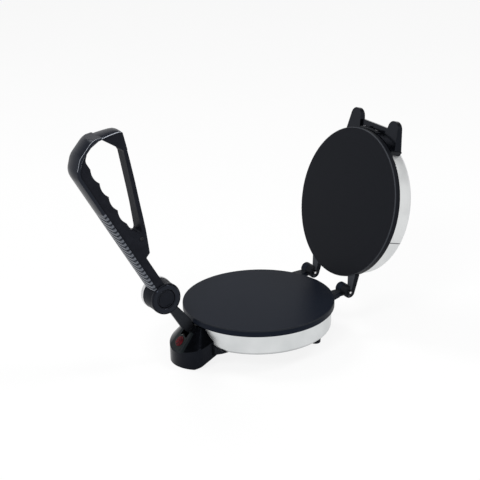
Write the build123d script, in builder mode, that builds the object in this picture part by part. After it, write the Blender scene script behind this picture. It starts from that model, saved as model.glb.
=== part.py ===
"""Electric roti maker: two hinged cooking plates, a front housing and a press handle on a link.

Millimetres, +Z up. The hinge is towards +Y, the front housing and the press handle towards -Y, and
the lid stands open. The pieces are drawn about the centre of the lower plate, and each is moved by
frame_shift when it is saved, so that the origin is on the table in the middle of the footprint.
"""

import os
from math import atan2, cos, degrees, radians, sin, sqrt

from build123d import *

frame_shift = 29.5  # from the lower plate's centre to the origin, towards +Y

# ---------------------------------------------------------------- cooking plates
plate_radius = 101.5
plate_top = 60.4  # cooking face above the table
plate_thickness = 5.0
plate_gap = 1.05  # between the two faces when the lid is shut
skirt_depth = 8.7
skirt_wall = 3.6
rim_round = 1.0
stud_ring = 45.0
stud_angle = 30.0  # first of three
pillar_angle = 90.0  # first of three
stud_radius = 2.5
pillar_inset = 12.9  # from the skirt's inner wall to the pillars' ring
pillar_radius = 4.5
screw_radius = 1.5  # all small screws
screw_grip = 9.0  # thread length in a pillar or boss
running_clearance = 0.05
part_clearance = 0.3

# ---------------------------------------------------------------- hinge
hinge_standoff = 10.8  # from the plate's rim to the hinge axis
lug_spread = 41.6  # from the centre to the joint line of each pair of lugs
lug_width = 10.7
lug_gap = 0.6
lug_radius = 8.0
lug_web = 5.5
hinge_pin_radius = 2.5
hinge_pin_head_radius = 3.6
hinge_pin_head = 1.4
lid_open_angle = 105.5

# ---------------------------------------------------------------- pan, cover and heater stack
sheet = 0.8
pan_play = 0.75  # between the skirt and the pan
pan_depth = 36.5
cover_play = 1.8  # between the skirt and the cover
cover_depth = 33.9
cup_corner = 4.5
stack_play = 3.5  # between the heater stack and the pillars
element_thickness = 1.6
insulation_thickness = 3.0
pressure_plate_inset = 5.0
pressure_plate_thickness = 1.5
nut_flats = 8.0
nut_height = 3.0

# ---------------------------------------------------------------- rear feet
foot_inset = 20.75  # from the pan's side to the feet's ring
foot_angle = 39.7  # each side of +Y
foot_top_radius = 8.6
foot_bottom_radius = 6.8
foot_counterbore = 4.0
foot_seat = 10.0  # moulded height left above the counterbore

# ---------------------------------------------------------------- front housing
housing_half_width = 35.0
housing_length = 34.35  # from the pan's side to the foremost point
housing_nose_spread = 4.0  # how much larger the nose's radius is than the half width
housing_corner = 10.0
housing_tuck = 19.15  # how far it runs in under the pan
housing_wall = 2.4
nose_wall_height = 21.3
wall_rise = 0.34  # slope of the side wall's top edge
roof_half_width = 20.0
roof_length = 8.85  # in front of the pan's side
roof_nose_spread = 10.0
roof_corner = 8.0
roof_clearance = 1.7  # under the plate's skirt
sole_length = 20.45  # the sole is flat on the table in front of this, from the pan's side
sole_rise = 0.5
fin_reach = 50.0  # half width of the two fins under the pan's edge
fin_lip = 2.85  # outside the pan's side
fin_base_drop = 7.9  # below the pan's floor
fin_tip_drop = 0.9
fin_tip_rise = 1.3  # above the pan's floor
fin_base_rise = 6.6
slot_play = 1.9  # beside the link pin's heads
slot_length = 18.85  # in front of the pan's side
floor_thickness = 2.0
floor_recess = 2.0
housing_screw_spread = 22.0
housing_screw_inset = 12.65  # inside the pan's side
housing_screw_depth = 5.4  # from the pan's floor down to the screw head's seat
housing_boss_radius = 5.0
housing_well_radius = 3.2
floor_screw_spread = 16.5
floor_screw_inset = 9.5  # behind the foremost point
floor_column_radius = 3.6
floor_tuck = 5.15  # how far the floor runs in under the pan
gland_offset = 3.45  # in front of the pan's side
gland_rise = 3.8  # between the gland and the floor
gland_radius = 4.2
gland_bore = 3.0
gland_flange_radius = 5.6
gland_flange = 1.8
gland_tail = 3.0  # inside the wall

# ---------------------------------------------------------------- indicator
facet_depth = 1.3  # flat strip cut into the rounded front
facet_wall = 2.2
panel_width = 20.0
panel_length = 19.0
panel_pocket = 1.0
panel_proud = 0.3
panel_centre = 11.8  # up the sloping front from the nose's edge
lens_centre = 13.4
lens_radius = 6.0
lens_flange_radius = 7.2
lens_flange = 1.0
lens_height = 1.8
lamp_radius = 3.0
lamp_length = 9.0

# ---------------------------------------------------------------- link
link_standoff = 3.0  # from the plate's rim to the pivot
link_drop = 18.4  # from the cooking face down to the pivot
link_length = 72.3
link_lean = 34.6  # from the vertical, towards the front
link_thickness = 5.0
link_eye_radius = 5.0
link_heel_front = 7.5
link_heel_back = 9.2
link_heel_height = 15.0
link_heel_round = 6.0
link_neck_front = 5.9
link_neck_back = 6.45
link_neck_height = 43.0
link_top_radius = 8.5
link_pin_radius = 2.2
link_pin_head = 1.2
bracket_cheek = 1.6
bracket_cheek_radius = 4.6
bracket_cheek_gap = 0.2
bracket_half_width = 12.0
bracket_drop = 9.0  # below the pivot
bracket_rise = 4.5  # above the pivot
rivet_radius = 1.5
rivet_head_radius = 2.6
rivet_head = 0.9
rivet_inset = 3.0  # from the bracket's ends

# ---------------------------------------------------------------- handle
grip_lean = 29.4  # from the vertical, towards the front
knuckle_radius = 20.5
knuckle_half_width = 14.5
washer_play = 0.1
link_eye_play = 1.5  # round the link's eye
link_neck_play = 0.55  # beside the link at each end of its swing
handle_fold = 102.5  # the bar then lies 1 mm above the cover's rear screw
grip_front = 6.85  # the grip's front edge, forward of the knuckle's centre
grip_crown = 2.1
grip_half_width = 14.0
grip_strip = 4.0
grip_start = 21.0
frame_half_width = 11.5
frame_clearance = 0.15
neck_back = 8.85
bar_half_width = 9.0
bar_taper_start = 98.0  # along the grip, where the bar starts to thin
bar_taper_end = 132.0
bar_thin_end = 199.0
bar_thin_front = 18.0  # clear of the grip
handle_crown = 30.4  # from the last finger's crest to the top of the loop
scallop_first = 121.8  # first crest between two fingers, along the grip
scallop_pitch = 22.2
scallop_depth = 2.8
scallop_crest = 12.5
rib_count = 20
rib_first = 29.0
rib_pitch = 6.2
rib_groove = 2.4
rib_depth = 1.0
rib_slant = 20.0
pivot_bolt_radius = 3.0
bolt_head_radius = 5.2
bolt_head = 3.2
cap_recess_radius = 12.5
cap_recess_depth = 7.0
cap_thickness = 2.0
cap_inset = 1.4
end_plate_lip = 0.9  # outside the knuckle
end_plate_thickness = 1.2
washer_thickness = 0.75
washer_inset = 0.5  # inside the link's eye
pivot_nut_flats = 10.0
pivot_nut_dome = 2.6
cross_screw_length = 14.0

# ---------------------------------------------------------------- lid bracket
bracket_span = 33.6  # half angle of the curved foot
foot_wall = 6.4  # thickness of the curved foot
foot_low = 9.2  # heights are from the upper plate's face
foot_high = 27.3
ear_centre = 41.0
ear_tip_radius = 10.5
ear_length = 21.0  # outside the foot
ear_inner_base = 25.0
ear_outer_base = 55.5
ear_inner_root = 4.1  # inside the cover's side
ear_outer_root = 12.1
ear_slope_run = 39.4
ear_low = 15.3
ear_tip_thickness = 6.5
web_half_width = 28.0
web_length = 8.2  # outside the foot
web_low = 18.5
web_thickness = 5.5
clamp_half_width = 19.0
clamp_low = 9.8
clamp_high = 15.6
clamp_thickness = 1.4
bracket_screw_spread = 13.0


def ring_of_three(radius, first_angle):
    """Three points evenly spaced round the plate's centre."""
    angles = [radians(first_angle + 120 * step) for step in range(3)]
    return [(radius * cos(angle), radius * sin(angle)) for angle in angles]


# ---------------------------------------------------------------- places worked out from the sizes
skirt_inner = plate_radius - skirt_wall
pan_radius = skirt_inner - pan_play
cover_radius = skirt_inner - cover_play
pan_floor = plate_top - pan_depth
hinge_reach = plate_radius + hinge_standoff
hinge_height = plate_top + plate_gap / 2
pillar_ring = skirt_inner - pillar_inset
stack_radius = pillar_ring - pillar_radius - stack_play
pressure_plate_radius = stack_radius - pressure_plate_inset
foot_ring = pan_radius - foot_inset
housing_nose = pan_radius + housing_length
housing_back = pan_radius - housing_tuck
roof_front = pan_radius + roof_length
housing_nose_radius = housing_half_width + housing_nose_spread
roof_nose_radius = roof_half_width + roof_nose_spread
roof_height = plate_top - skirt_depth - roof_clearance
sole_front = pan_radius + sole_length
fin_radius = pan_radius + fin_lip
slot_front = pan_radius + slot_length
housing_screw_reach = pan_radius - housing_screw_inset
housing_screw_seat = pan_floor - housing_screw_depth
floor_screw_reach = housing_nose - floor_screw_inset
floor_top = floor_recess + floor_thickness
gland_reach = pan_radius + gland_offset
gland_height = floor_top + (sole_front - gland_reach) * sole_rise + gland_radius + gland_rise
link_pivot_reach = plate_radius + link_standoff
link_pivot_height = plate_top - link_drop
bracket_low = link_pivot_height - bracket_drop
bracket_high = link_pivot_height + bracket_rise
rivet_x = bracket_half_width - rivet_inset
cheek_inner = link_thickness / 2 + bracket_cheek_gap
pin_half_length = cheek_inner + bracket_cheek
slot_half_width = pin_half_length + link_pin_head + slot_play
knuckle_slot = link_thickness / 2 + washer_thickness + washer_play  # half width
knuckle_slot_radius = link_top_radius + link_eye_play
knuckle_slot_end = link_neck_back + link_neck_play  # half width of the slot's two ends
washer_radius = link_top_radius - washer_inset
end_plate_radius = knuckle_radius + end_plate_lip
foot_outer_radius = cover_radius + foot_wall
ear_reach = foot_outer_radius + ear_length
web_reach = foot_outer_radius + web_length
stack_depth = plate_thickness + element_thickness + insulation_thickness + pressure_plate_thickness
link_axis = (0, -sin(radians(link_lean)), cos(radians(link_lean)))
link_across = (0, cos(radians(link_lean)), sin(radians(link_lean)))
knuckle_y = -link_pivot_reach + link_length * link_axis[1]
knuckle_z = link_pivot_height + link_length * link_axis[2]

BASE = Location((0, 0, plate_top))
LID = (
    Pos(0, hinge_reach, hinge_height)
    * Rot(X=-lid_open_angle)
    * Pos(0, -hinge_reach, plate_gap / 2)
    * Rot(Y=180)
)
LINK = Plane(origin=(0, -link_pivot_reach, link_pivot_height), x_dir=link_across, z_dir=(1, 0, 0))
GRIP = Plane(
    origin=(0, knuckle_y, knuckle_z),
    x_dir=(0, cos(radians(grip_lean)), sin(radians(grip_lean))),
    z_dir=(1, 0, 0),
)
SLOPE_ANGLE = degrees(atan2(roof_height - nose_wall_height, housing_nose - roof_front))
SLOPE = Plane(
    origin=(0, -housing_nose, nose_wall_height),
    x_dir=(1, 0, 0),
    z_dir=(0, -sin(radians(SLOPE_ANGLE)), cos(radians(SLOPE_ANGLE))),
)
stud_places = ring_of_three(stud_ring, stud_angle)
pillar_places = ring_of_three(pillar_ring, pillar_angle)
foot_places = [
    (side * foot_ring * sin(radians(foot_angle)), foot_ring * cos(radians(foot_angle)))
    for side in (-1, 1)
]
housing_screw_places = [(side * housing_screw_spread, -housing_screw_reach) for side in (-1, 1)]


def save(piece, name):
    """Move a finished piece to the shared frame, label it and write it as its own STEP file."""
    piece.part.label = name
    piece.part.location = Location((0, frame_shift, 0)) * piece.part.location
    export_step(piece.part, f"parts/{name}.step")


# ================================================================ shared shapes
def plate_casting(pillar_length, bore_radius):
    """Cooking plate with its face at z = 0: skirt, hinge lugs, studs and pillars lie below it."""
    hinge_z = plate_gap / 2
    lug_centres = (
        -lug_spread - (lug_gap + lug_width) / 2,
        lug_spread - (lug_gap + lug_width) / 2,
    )
    lug_root = skirt_inner - lug_width
    with BuildPart() as casting:
        with BuildSketch(Plane.XZ):
            with BuildLine():
                Polyline(
                    (0, 0),
                    (plate_radius, 0),
                    (plate_radius, -skirt_depth),
                    (skirt_inner, -skirt_depth),
                    (skirt_inner, -plate_thickness),
                    (0, -plate_thickness),
                    close=True,
                )
            face = make_face()
            rim_corners = face.vertices().filter_by_position(Axis.X, plate_radius - 0.1, plate_radius + 0.1)
            fillet(rim_corners, rim_round)
        revolve(axis=Axis.Z)
        for centre in lug_centres:
            with BuildSketch(Plane.YZ.offset(centre - lug_width / 2)):
                with BuildLine():
                    Polyline(
                        (lug_root, -rim_round),
                        (lug_root, -skirt_depth),
                        (hinge_reach, hinge_z - lug_radius),
                        (hinge_reach, -rim_round),
                        close=True,
                    )
                make_face()
                with Locations((hinge_reach, hinge_z)):
                    Circle(lug_radius)
            extrude(amount=lug_width)
            web_side = centre + lug_width / 2
            web_tip = hinge_reach - lug_radius - part_clearance
            with BuildSketch(Plane.XY.offset(-skirt_depth)):
                with BuildLine():
                    Polyline(
                        (web_side - 1, lug_root),
                        (web_side + lug_web, lug_root),
                        (web_side, web_tip),
                        (web_side - 1, web_tip),
                        close=True,
                    )
                make_face()
            extrude(amount=skirt_depth - rim_round)
        # the lugs stay outside the cup's space behind the skirt
        with Locations((0, 0, -plate_thickness)):
            Cylinder(
                skirt_inner,
                skirt_depth,
                align=(Align.CENTER, Align.CENTER, Align.MAX),
                mode=Mode.SUBTRACT,
            )
        with BuildSketch(Plane.YZ.offset(-plate_radius)):
            with Locations((hinge_reach, hinge_z)):
                Circle(bore_radius)
        extrude(amount=2 * plate_radius, mode=Mode.SUBTRACT)
        with BuildSketch(Plane.XY.offset(-plate_thickness)):
            with Locations(*stud_places):
                Circle(stud_radius)
        extrude(amount=-(stack_depth - plate_thickness + nut_height + 1))
        with BuildSketch(Plane.XY.offset(-plate_thickness)):
            with Locations(*pillar_places):
                Circle(pillar_radius)
        extrude(amount=-(pillar_length - plate_thickness))
        with BuildSketch(Plane.XY.offset(-pillar_length)):
            with Locations(*pillar_places):
                Circle(screw_radius + running_clearance)
        extrude(amount=screw_grip + 1, mode=Mode.SUBTRACT)
    return casting.part


def drawn_cup(radius, depth):
    """Drawn sheet cup, open towards z = 0, with its bottom at z = -depth."""
    lip = plate_thickness + part_clearance
    with BuildPart() as cup:
        with BuildSketch(Plane.XZ):
            with BuildLine():
                outer = FilletPolyline((0, -depth), (radius, -depth), (radius, -lip), radius=cup_corner)
                inner = FilletPolyline(
                    (0, sheet - depth),
                    (radius - sheet, sheet - depth),
                    (radius - sheet, -lip),
                    radius=cup_corner - sheet,
                )
                Line(outer @ 0, inner @ 0)
                Line(outer @ 1, inner @ 1)
            make_face()
        revolve(axis=Axis.Z)
        with BuildSketch(Plane.XY.offset(-depth)):
            with Locations(*pillar_places):
                Circle(screw_radius + part_clearance)
        extrude(amount=sheet, mode=Mode.SUBTRACT)
    return cup.part


def stack_disc(radius, thickness, top):
    """Disc of the heater stack with holes for the plate's studs, its top at z = -top."""
    with BuildPart() as disc:
        with BuildSketch(Plane.XY.offset(-top - thickness)):
            Circle(radius)
            with Locations(*stud_places):
                Circle(stud_radius + running_clearance, mode=Mode.SUBTRACT)
        extrude(amount=thickness)
    return disc.part


def hex_nut(bore_radius, flats=nut_flats):
    """Hexagon nut standing on z = 0."""
    with BuildPart() as nut:
        with BuildSketch():
            RegularPolygon(flats / 2, 6, major_radius=False)
            Circle(bore_radius, mode=Mode.SUBTRACT)
        extrude(amount=nut_height)
    return nut.part


def screw(length, head_radius=2.8, head_height=1.6):
    """Pan-head screw with a crossed recess: head above z = 0, shank below it."""
    with BuildPart() as fastener:
        Cylinder(head_radius, head_height, align=(Align.CENTER, Align.CENTER, Align.MIN))
        fillet(fastener.edges().group_by(Axis.Z)[-1], head_height * 0.6)
        with BuildSketch(Plane.XY.offset(head_height)):
            Rectangle(head_radius * 1.1, head_radius * 0.25)
            Rectangle(head_radius * 0.25, head_radius * 1.1)
        extrude(amount=-head_height / 2, mode=Mode.SUBTRACT)
        Cylinder(screw_radius, length, align=(Align.CENTER, Align.CENTER, Align.MAX))
    return fastener.part


def heater_stack(frame, prefix, strap_holes=()):
    """Write the element, insulation, pressure plate and nuts of one plate."""
    element_top = plate_thickness
    insulation_top = element_top + element_thickness
    clamp_top = insulation_top + insulation_thickness
    with BuildPart() as element:
        with Locations(frame):
            add(stack_disc(stack_radius, element_thickness, element_top))
    save(element, f"{prefix}_element")
    with BuildPart() as insulation:
        with Locations(frame):
            add(stack_disc(stack_radius, insulation_thickness, insulation_top))
    save(insulation, f"{prefix}_insulation")
    with BuildPart() as clamp:
        with Locations(frame):
            add(stack_disc(pressure_plate_radius, pressure_plate_thickness, clamp_top))
            for place in strap_holes:
                with Locations((*place, -clamp_top)):
                    Cylinder(
                        screw_radius,
                        pressure_plate_thickness,
                        align=(Align.CENTER, Align.CENTER, Align.MAX),
                        mode=Mode.SUBTRACT,
                    )
    save(clamp, f"{prefix}_pressure_plate")
    nut = hex_nut(stud_radius + running_clearance)
    with BuildPart() as nuts:
        with Locations(frame):
            with Locations(*stud_places):
                with Locations((0, 0, -stack_depth - nut_height)):
                    add(nut)
    save(nuts, f"{prefix}_stud_nuts")


def cup_screws(frame, depth, name):
    """Write the three screws that hold a cup to the plate's pillars."""
    fastener = Rot(X=180) * screw(sheet + screw_grip)
    with BuildPart() as screws:
        with Locations(frame):
            with Locations(*pillar_places):
                with Locations((0, 0, -depth)):
                    add(fastener)
    save(screws, name)


os.makedirs("parts", exist_ok=True)

# ================================================================ base: plate, pan and heater
with BuildPart() as lower_plate:
    with Locations(BASE):
        add(plate_casting(pan_depth - sheet, hinge_pin_radius))
save(lower_plate, "lower_plate")
thermostat_reach = 18.0
strap_screw_spread = 13.5
strap_length = 36.0
strap_width = 14.0
heater_stack(
    BASE, "lower", [(-strap_screw_spread, -thermostat_reach), (strap_screw_spread, -thermostat_reach)]
)

wire_hole_half_width = 9.0
wire_hole_low = pan_floor + 1.9
wire_hole_high = pan_floor + 7.6
with BuildPart() as lower_pan:
    with Locations(BASE):
        add(drawn_cup(pan_radius, pan_depth))
    with BuildSketch(Plane.XZ.offset(pan_radius - 3 * cup_corner)):
        with Locations((0, (wire_hole_low + wire_hole_high) / 2)):
            RectangleRounded(2 * wire_hole_half_width, wire_hole_high - wire_hole_low, 1.5)
    extrude(amount=4 * cup_corner, mode=Mode.SUBTRACT)
    with BuildSketch(Plane.XY.offset(pan_floor)):
        with Locations(*foot_places, *housing_screw_places):
            Circle(screw_radius + running_clearance)
    extrude(amount=sheet, mode=Mode.SUBTRACT)
    rivet_height = (bracket_low + bracket_high) / 2
    with BuildSketch(Plane.XZ.offset(pan_radius - 3 * cup_corner)):
        with Locations((-rivet_x, rivet_height), (rivet_x, rivet_height)):
            Circle(rivet_radius + running_clearance)
    extrude(amount=4 * cup_corner, mode=Mode.SUBTRACT)
save(lower_pan, "lower_pan")
cup_screws(BASE, pan_depth, "pan_screws")

# rear feet, each with a deep counterbore for its screw
for side, place in zip(("left", "right"), foot_places):
    with BuildPart() as rear_foot:
        with BuildSketch(Plane.XY):
            with Locations(place):
                Circle(foot_bottom_radius)
        with BuildSketch(Plane.XY.offset(pan_floor)):
            with Locations(place):
                Circle(foot_top_radius)
        loft()
        fillet(rear_foot.edges().group_by(Axis.Z)[0], 1.2)
        with BuildSketch(Plane.XY):
            with Locations(place):
                Circle(foot_counterbore)
        extrude(amount=pan_floor - foot_seat, mode=Mode.SUBTRACT)
        with BuildSketch(Plane.XY):
            with Locations(place):
                Circle(screw_radius + running_clearance)
        extrude(amount=pan_floor, mode=Mode.SUBTRACT)
    save(rear_foot, f"rear_foot_{side}")

foot_screw = Rot(X=180) * screw(foot_seat + sheet + nut_height + 1)
with BuildPart() as foot_screws:
    with Locations(Plane.XY.offset(pan_floor - foot_seat)):
        with Locations(*foot_places):
            add(foot_screw)
save(foot_screws, "foot_screws")
small_nut = hex_nut(screw_radius + running_clearance)
with BuildPart() as foot_nuts:
    with Locations(Plane.XY.offset(pan_floor + sheet)):
        with Locations(*foot_places):
            add(small_nut)
save(foot_nuts, "foot_nuts")

# thermostat on its bracket and a thermal fuse, both against the pressure plate
stack_bottom = plate_top - stack_depth
thermostat_radius = 8.0
thermostat_height = 9.0
bracket_strap = 1.2
with BuildPart() as thermostat_bracket:
    with BuildSketch(Plane.XY.offset(stack_bottom - bracket_strap)):
        with Locations((0, -thermostat_reach)):
            SlotOverall(strap_length, strap_width)
            with Locations((-strap_screw_spread, 0), (strap_screw_spread, 0)):
                Circle(screw_radius, mode=Mode.SUBTRACT)
    extrude(amount=bracket_strap)
save(thermostat_bracket, "thermostat_bracket")
with BuildPart() as strap_screws:
    with Locations((0, -thermostat_reach, stack_bottom - bracket_strap)):
        with Locations((-strap_screw_spread, 0), (strap_screw_spread, 0)):
            add(Rot(X=180) * screw(bracket_strap + pressure_plate_thickness))
save(strap_screws, "strap_screws")
with BuildPart() as thermostat:
    with Locations((0, -thermostat_reach, stack_bottom - bracket_strap)):
        Cylinder(thermostat_radius, thermostat_height, align=(Align.CENTER, Align.CENTER, Align.MAX))
    fillet(thermostat.edges().group_by(Axis.Z)[0], 1)
    with Locations((0, -thermostat_reach, stack_bottom - bracket_strap - thermostat_height)):
        with Locations((-4, 0), (4, 0)):
            Box(2.4, 0.8, 5, align=(Align.CENTER, Align.CENTER, Align.MAX))
save(thermostat, "thermostat")
fuse_radius = 2.0
with BuildPart() as thermal_fuse:
    with Locations((30, -thermostat_reach + 12, stack_bottom - fuse_radius)):
        Cylinder(fuse_radius, 12, rotation=(0, 90, 0))
        Cylinder(fuse_radius / 3, 22, rotation=(0, 90, 0))
save(thermal_fuse, "thermal_fuse")


# ================================================================ base: front housing
def housing_plan(half_width, nose, nose_radius, corner):
    """Plan of the housing: straight sides, rounded corners and an arc for the nose."""
    shoulder = nose_radius - nose - sqrt(nose_radius**2 - half_width**2)
    with BuildSketch() as plan:
        with BuildLine():
            Line((-half_width, -housing_back), (half_width, -housing_back))
            Line((half_width, -housing_back), (half_width, shoulder))
            ThreePointArc((half_width, shoulder), (0, -nose), (-half_width, shoulder))
            Line((-half_width, shoulder), (-half_width, -housing_back))
        make_face()
        fillet(plan.vertices().group_by(Axis.Y)[0], corner)
    return plan.sketch


def housing_block(inset):
    """Outer form of the housing, drawn in by inset all round and at the roof."""
    wall_plan = housing_plan(
        housing_half_width - inset, housing_nose - inset, housing_nose_radius - inset, housing_corner
    )
    roof_plan = housing_plan(
        roof_half_width - inset, roof_front - inset, roof_nose_radius - inset, roof_corner
    )
    edge_normal = Vector(0, -wall_rise, 1).normalized()
    edge_plane = Plane(origin=(0, -housing_nose, nose_wall_height), x_dir=(1, 0, 0), z_dir=edge_normal)
    with BuildPart() as block:
        with BuildSketch():
            add(wall_plan)
        extrude(amount=roof_height)
        split(bisect_by=edge_plane, keep=Keep.BOTTOM)
        brim = block.faces().sort_by(Axis.Z)[-1]
        with BuildSketch(Plane.XY.offset(roof_height - inset)) as crown:
            add(roof_plan)
        loft(sections=[brim, crown.sketch.face()], ruled=True)
        # flat strip down the middle of the sloping front
        facet = SLOPE.offset(-facet_depth - facet_wall * inset / housing_wall)
        split(bisect_by=facet, keep=Keep.BOTTOM)
        # sole: flat in front, rising towards the pan
        with BuildSketch(Plane.YZ.offset(-housing_half_width)):
            with BuildLine():
                Polyline(
                    (-sole_front, inset - 1),
                    (-sole_front, inset),
                    (-housing_back, inset + (sole_front - housing_back) * sole_rise),
                    (-housing_back + 1, inset - 1),
                    close=True,
                )
            make_face()
        extrude(amount=2 * housing_half_width, mode=Mode.SUBTRACT)
    return block.part


def floor_band(inset, low, high):
    """Band of the housing's sole between two heights, inside its plan drawn in by inset."""
    floor_back = pan_radius - floor_tuck
    rise = (sole_front - floor_back - inset) * sole_rise
    with BuildPart() as band:
        with BuildSketch():
            add(
                housing_plan(
                    housing_half_width - inset,
                    housing_nose - inset,
                    housing_nose_radius - inset,
                    housing_corner - inset,
                )
            )
        extrude(amount=roof_height)
        with BuildSketch(Plane.YZ.offset(-housing_half_width)):
            with BuildLine():
                Polyline(
                    (-housing_nose, low),
                    (-sole_front, low),
                    (-floor_back - inset, low + rise),
                    (-floor_back - inset, high + rise),
                    (-sole_front, high),
                    (-housing_nose, high),
                    close=True,
                )
            make_face()
        extrude(amount=2 * housing_half_width, mode=Mode.INTERSECT)
    return band.part


housing_outer = housing_block(0)
housing_inner = housing_block(housing_wall)
pan_space = pan_radius + part_clearance
floor_screw_places = [(side * floor_screw_spread, -floor_screw_reach) for side in (-1, 1)]
with BuildPart() as floor_column_parts:
    with BuildSketch(Plane.XY.offset(floor_top)):
        with Locations(*floor_screw_places):
            Circle(floor_column_radius)
    extrude(amount=roof_height)
    add(housing_outer, mode=Mode.INTERSECT)
with BuildPart() as front_housing:
    # fins under the pan's edge, trimmed round outside the body
    for side in (-1, 1):
        fin_root = side * housing_half_width
        with BuildSketch(Plane.XZ.offset(housing_back)):
            with BuildLine():
                Polyline(
                    (fin_root - side, pan_floor - fin_base_drop),
                    (side * fin_reach, pan_floor - fin_tip_drop),
                    (side * fin_reach, pan_floor + fin_tip_rise),
                    (fin_root - side, pan_floor + fin_base_rise),
                    close=True,
                )
            make_face()
        extrude(amount=fin_radius - housing_back)
    with BuildSketch(Plane.XY):
        Circle(fin_radius)
    extrude(amount=roof_height, mode=Mode.INTERSECT)
    add(housing_outer)
    add(housing_inner, mode=Mode.SUBTRACT)
    add(floor_band(housing_wall, -1, floor_top), mode=Mode.SUBTRACT)
    add(floor_column_parts.part)
    # room for the pan
    with BuildSketch(Plane.XY.offset(pan_floor)):
        Circle(pan_space)
    extrude(amount=roof_height, mode=Mode.SUBTRACT)
    # slot for the link
    with BuildSketch(Plane.XY.offset(bracket_low)):
        with Locations((0, -(slot_front + housing_back) / 2)):
            Rectangle(2 * slot_half_width, slot_front - housing_back)
    extrude(amount=roof_height, mode=Mode.SUBTRACT)
    # pocket for the indicator panel and a hole for its lens
    with BuildSketch(SLOPE.offset(-facet_depth - panel_pocket)):
        with Locations((0, panel_centre)):
            RectangleRounded(panel_width, panel_length, 1.5)
    extrude(amount=3 * panel_pocket, mode=Mode.SUBTRACT)
    with BuildSketch(SLOPE):
        with Locations((0, lens_centre)):
            Circle(lens_radius + running_clearance)
    extrude(amount=-4 * facet_wall, mode=Mode.SUBTRACT)
    # gland hole in the left wall
    with BuildSketch(Plane.YZ.offset(-housing_half_width - 1)):
        with Locations((-gland_reach, gland_height)):
            Circle(gland_radius)
    extrude(amount=housing_wall + gland_tail + 1, mode=Mode.SUBTRACT)
    # bosses for the screws under the pan
    with BuildSketch(Plane.XY.offset(pan_floor)):
        with Locations(*housing_screw_places):
            Circle(housing_boss_radius)
    extrude(amount=-(pan_floor - housing_screw_seat + housing_wall))
    with BuildSketch(Plane.XY.offset(pan_floor)):
        with Locations(*housing_screw_places):
            Circle(screw_radius)
    extrude(amount=-roof_height, mode=Mode.SUBTRACT)
    with BuildSketch(Plane.XY.offset(housing_screw_seat)):
        with Locations(*housing_screw_places):
            Circle(housing_well_radius)
    extrude(amount=-roof_height, mode=Mode.SUBTRACT)
    with BuildSketch(Plane.XY):
        with Locations(*floor_screw_places):
            Circle(screw_radius)
    extrude(amount=floor_top + screw_grip, mode=Mode.SUBTRACT)
save(front_housing, "front_housing")

with BuildPart() as housing_screws:
    with Locations(Plane.XY.offset(housing_screw_seat)):
        with Locations(*housing_screw_places):
            add(Rot(X=180) * screw(pan_floor - housing_screw_seat + sheet + nut_height + 1))
save(housing_screws, "housing_screws")
with BuildPart() as housing_nuts:
    with Locations(Plane.XY.offset(pan_floor + sheet)):
        with Locations(*housing_screw_places):
            add(small_nut)
save(housing_nuts, "housing_nuts")

with BuildPart() as housing_floor:
    add(floor_band(housing_wall + frame_clearance, floor_recess, floor_top))
    with BuildSketch(Plane.XY):
        with Locations(*floor_screw_places):
            Circle(screw_radius)
    extrude(amount=floor_top, mode=Mode.SUBTRACT)
save(housing_floor, "housing_floor")
with BuildPart() as floor_screws:
    with Locations(Plane.XY.offset(floor_recess)):
        with Locations(*floor_screw_places):
            add(Rot(X=180) * screw(floor_thickness + screw_grip - 1))
save(floor_screws, "floor_screws")

# ================================================================ base: indicator and wiring
with BuildPart() as indicator_panel:
    with BuildSketch(SLOPE.offset(-facet_depth - panel_pocket)):
        with Locations((0, panel_centre)):
            RectangleRounded(panel_width, panel_length, 1.5)
        with Locations((0, lens_centre)):
            Circle(lens_radius + running_clearance, mode=Mode.SUBTRACT)
    extrude(amount=panel_pocket + panel_proud)
save(indicator_panel, "indicator_panel")

facet_back = facet_depth + facet_wall
with BuildPart() as indicator_lens:
    with BuildSketch(SLOPE.offset(-facet_back)):
        with Locations((0, lens_centre)):
            Circle(lens_radius)
    extrude(amount=facet_wall + panel_proud + lens_height)
    fillet(indicator_lens.faces().sort_by(Axis.Z)[-1].edges(), lens_height * 0.8)
    with BuildSketch(SLOPE.offset(-facet_back)):
        with Locations((0, lens_centre)):
            Circle(lens_flange_radius)
    extrude(amount=-lens_flange)
save(indicator_lens, "indicator_lens")

with BuildPart() as neon_lamp:
    with BuildSketch(SLOPE.offset(-facet_back - lens_flange)):
        with Locations((0, lens_centre)):
            Circle(lamp_radius)
    extrude(amount=-lamp_length)
    fillet(neon_lamp.faces().sort_by(Axis.Z)[0].edges(), 1)
save(neon_lamp, "neon_lamp")

SOLE = Plane(
    origin=(0, -sole_front, floor_top),
    x_dir=(1, 0, 0),
    z_dir=Vector(0, -sole_rise, 1).normalized(),
)
block_width = 18.0
block_length = 9.0
block_height = 7.0
block_setback = 16.0  # behind the sole's front line
terminal_spread = 4.5
terminal_radius = 2.0
terminal_depth = 4.0
with BuildPart() as terminal_block:
    with BuildSketch(SOLE):
        with Locations((0, block_setback)):
            Rectangle(block_width, block_length)
    extrude(amount=block_height)
    chamfer(terminal_block.edges().filter_by(Axis.X), 0.8)
    with BuildSketch(SOLE.offset(block_height)):
        with Locations((-terminal_spread, block_setback), (terminal_spread, block_setback)):
            Circle(terminal_radius)
    extrude(amount=-terminal_depth, mode=Mode.SUBTRACT)
save(terminal_block, "terminal_block")

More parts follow.
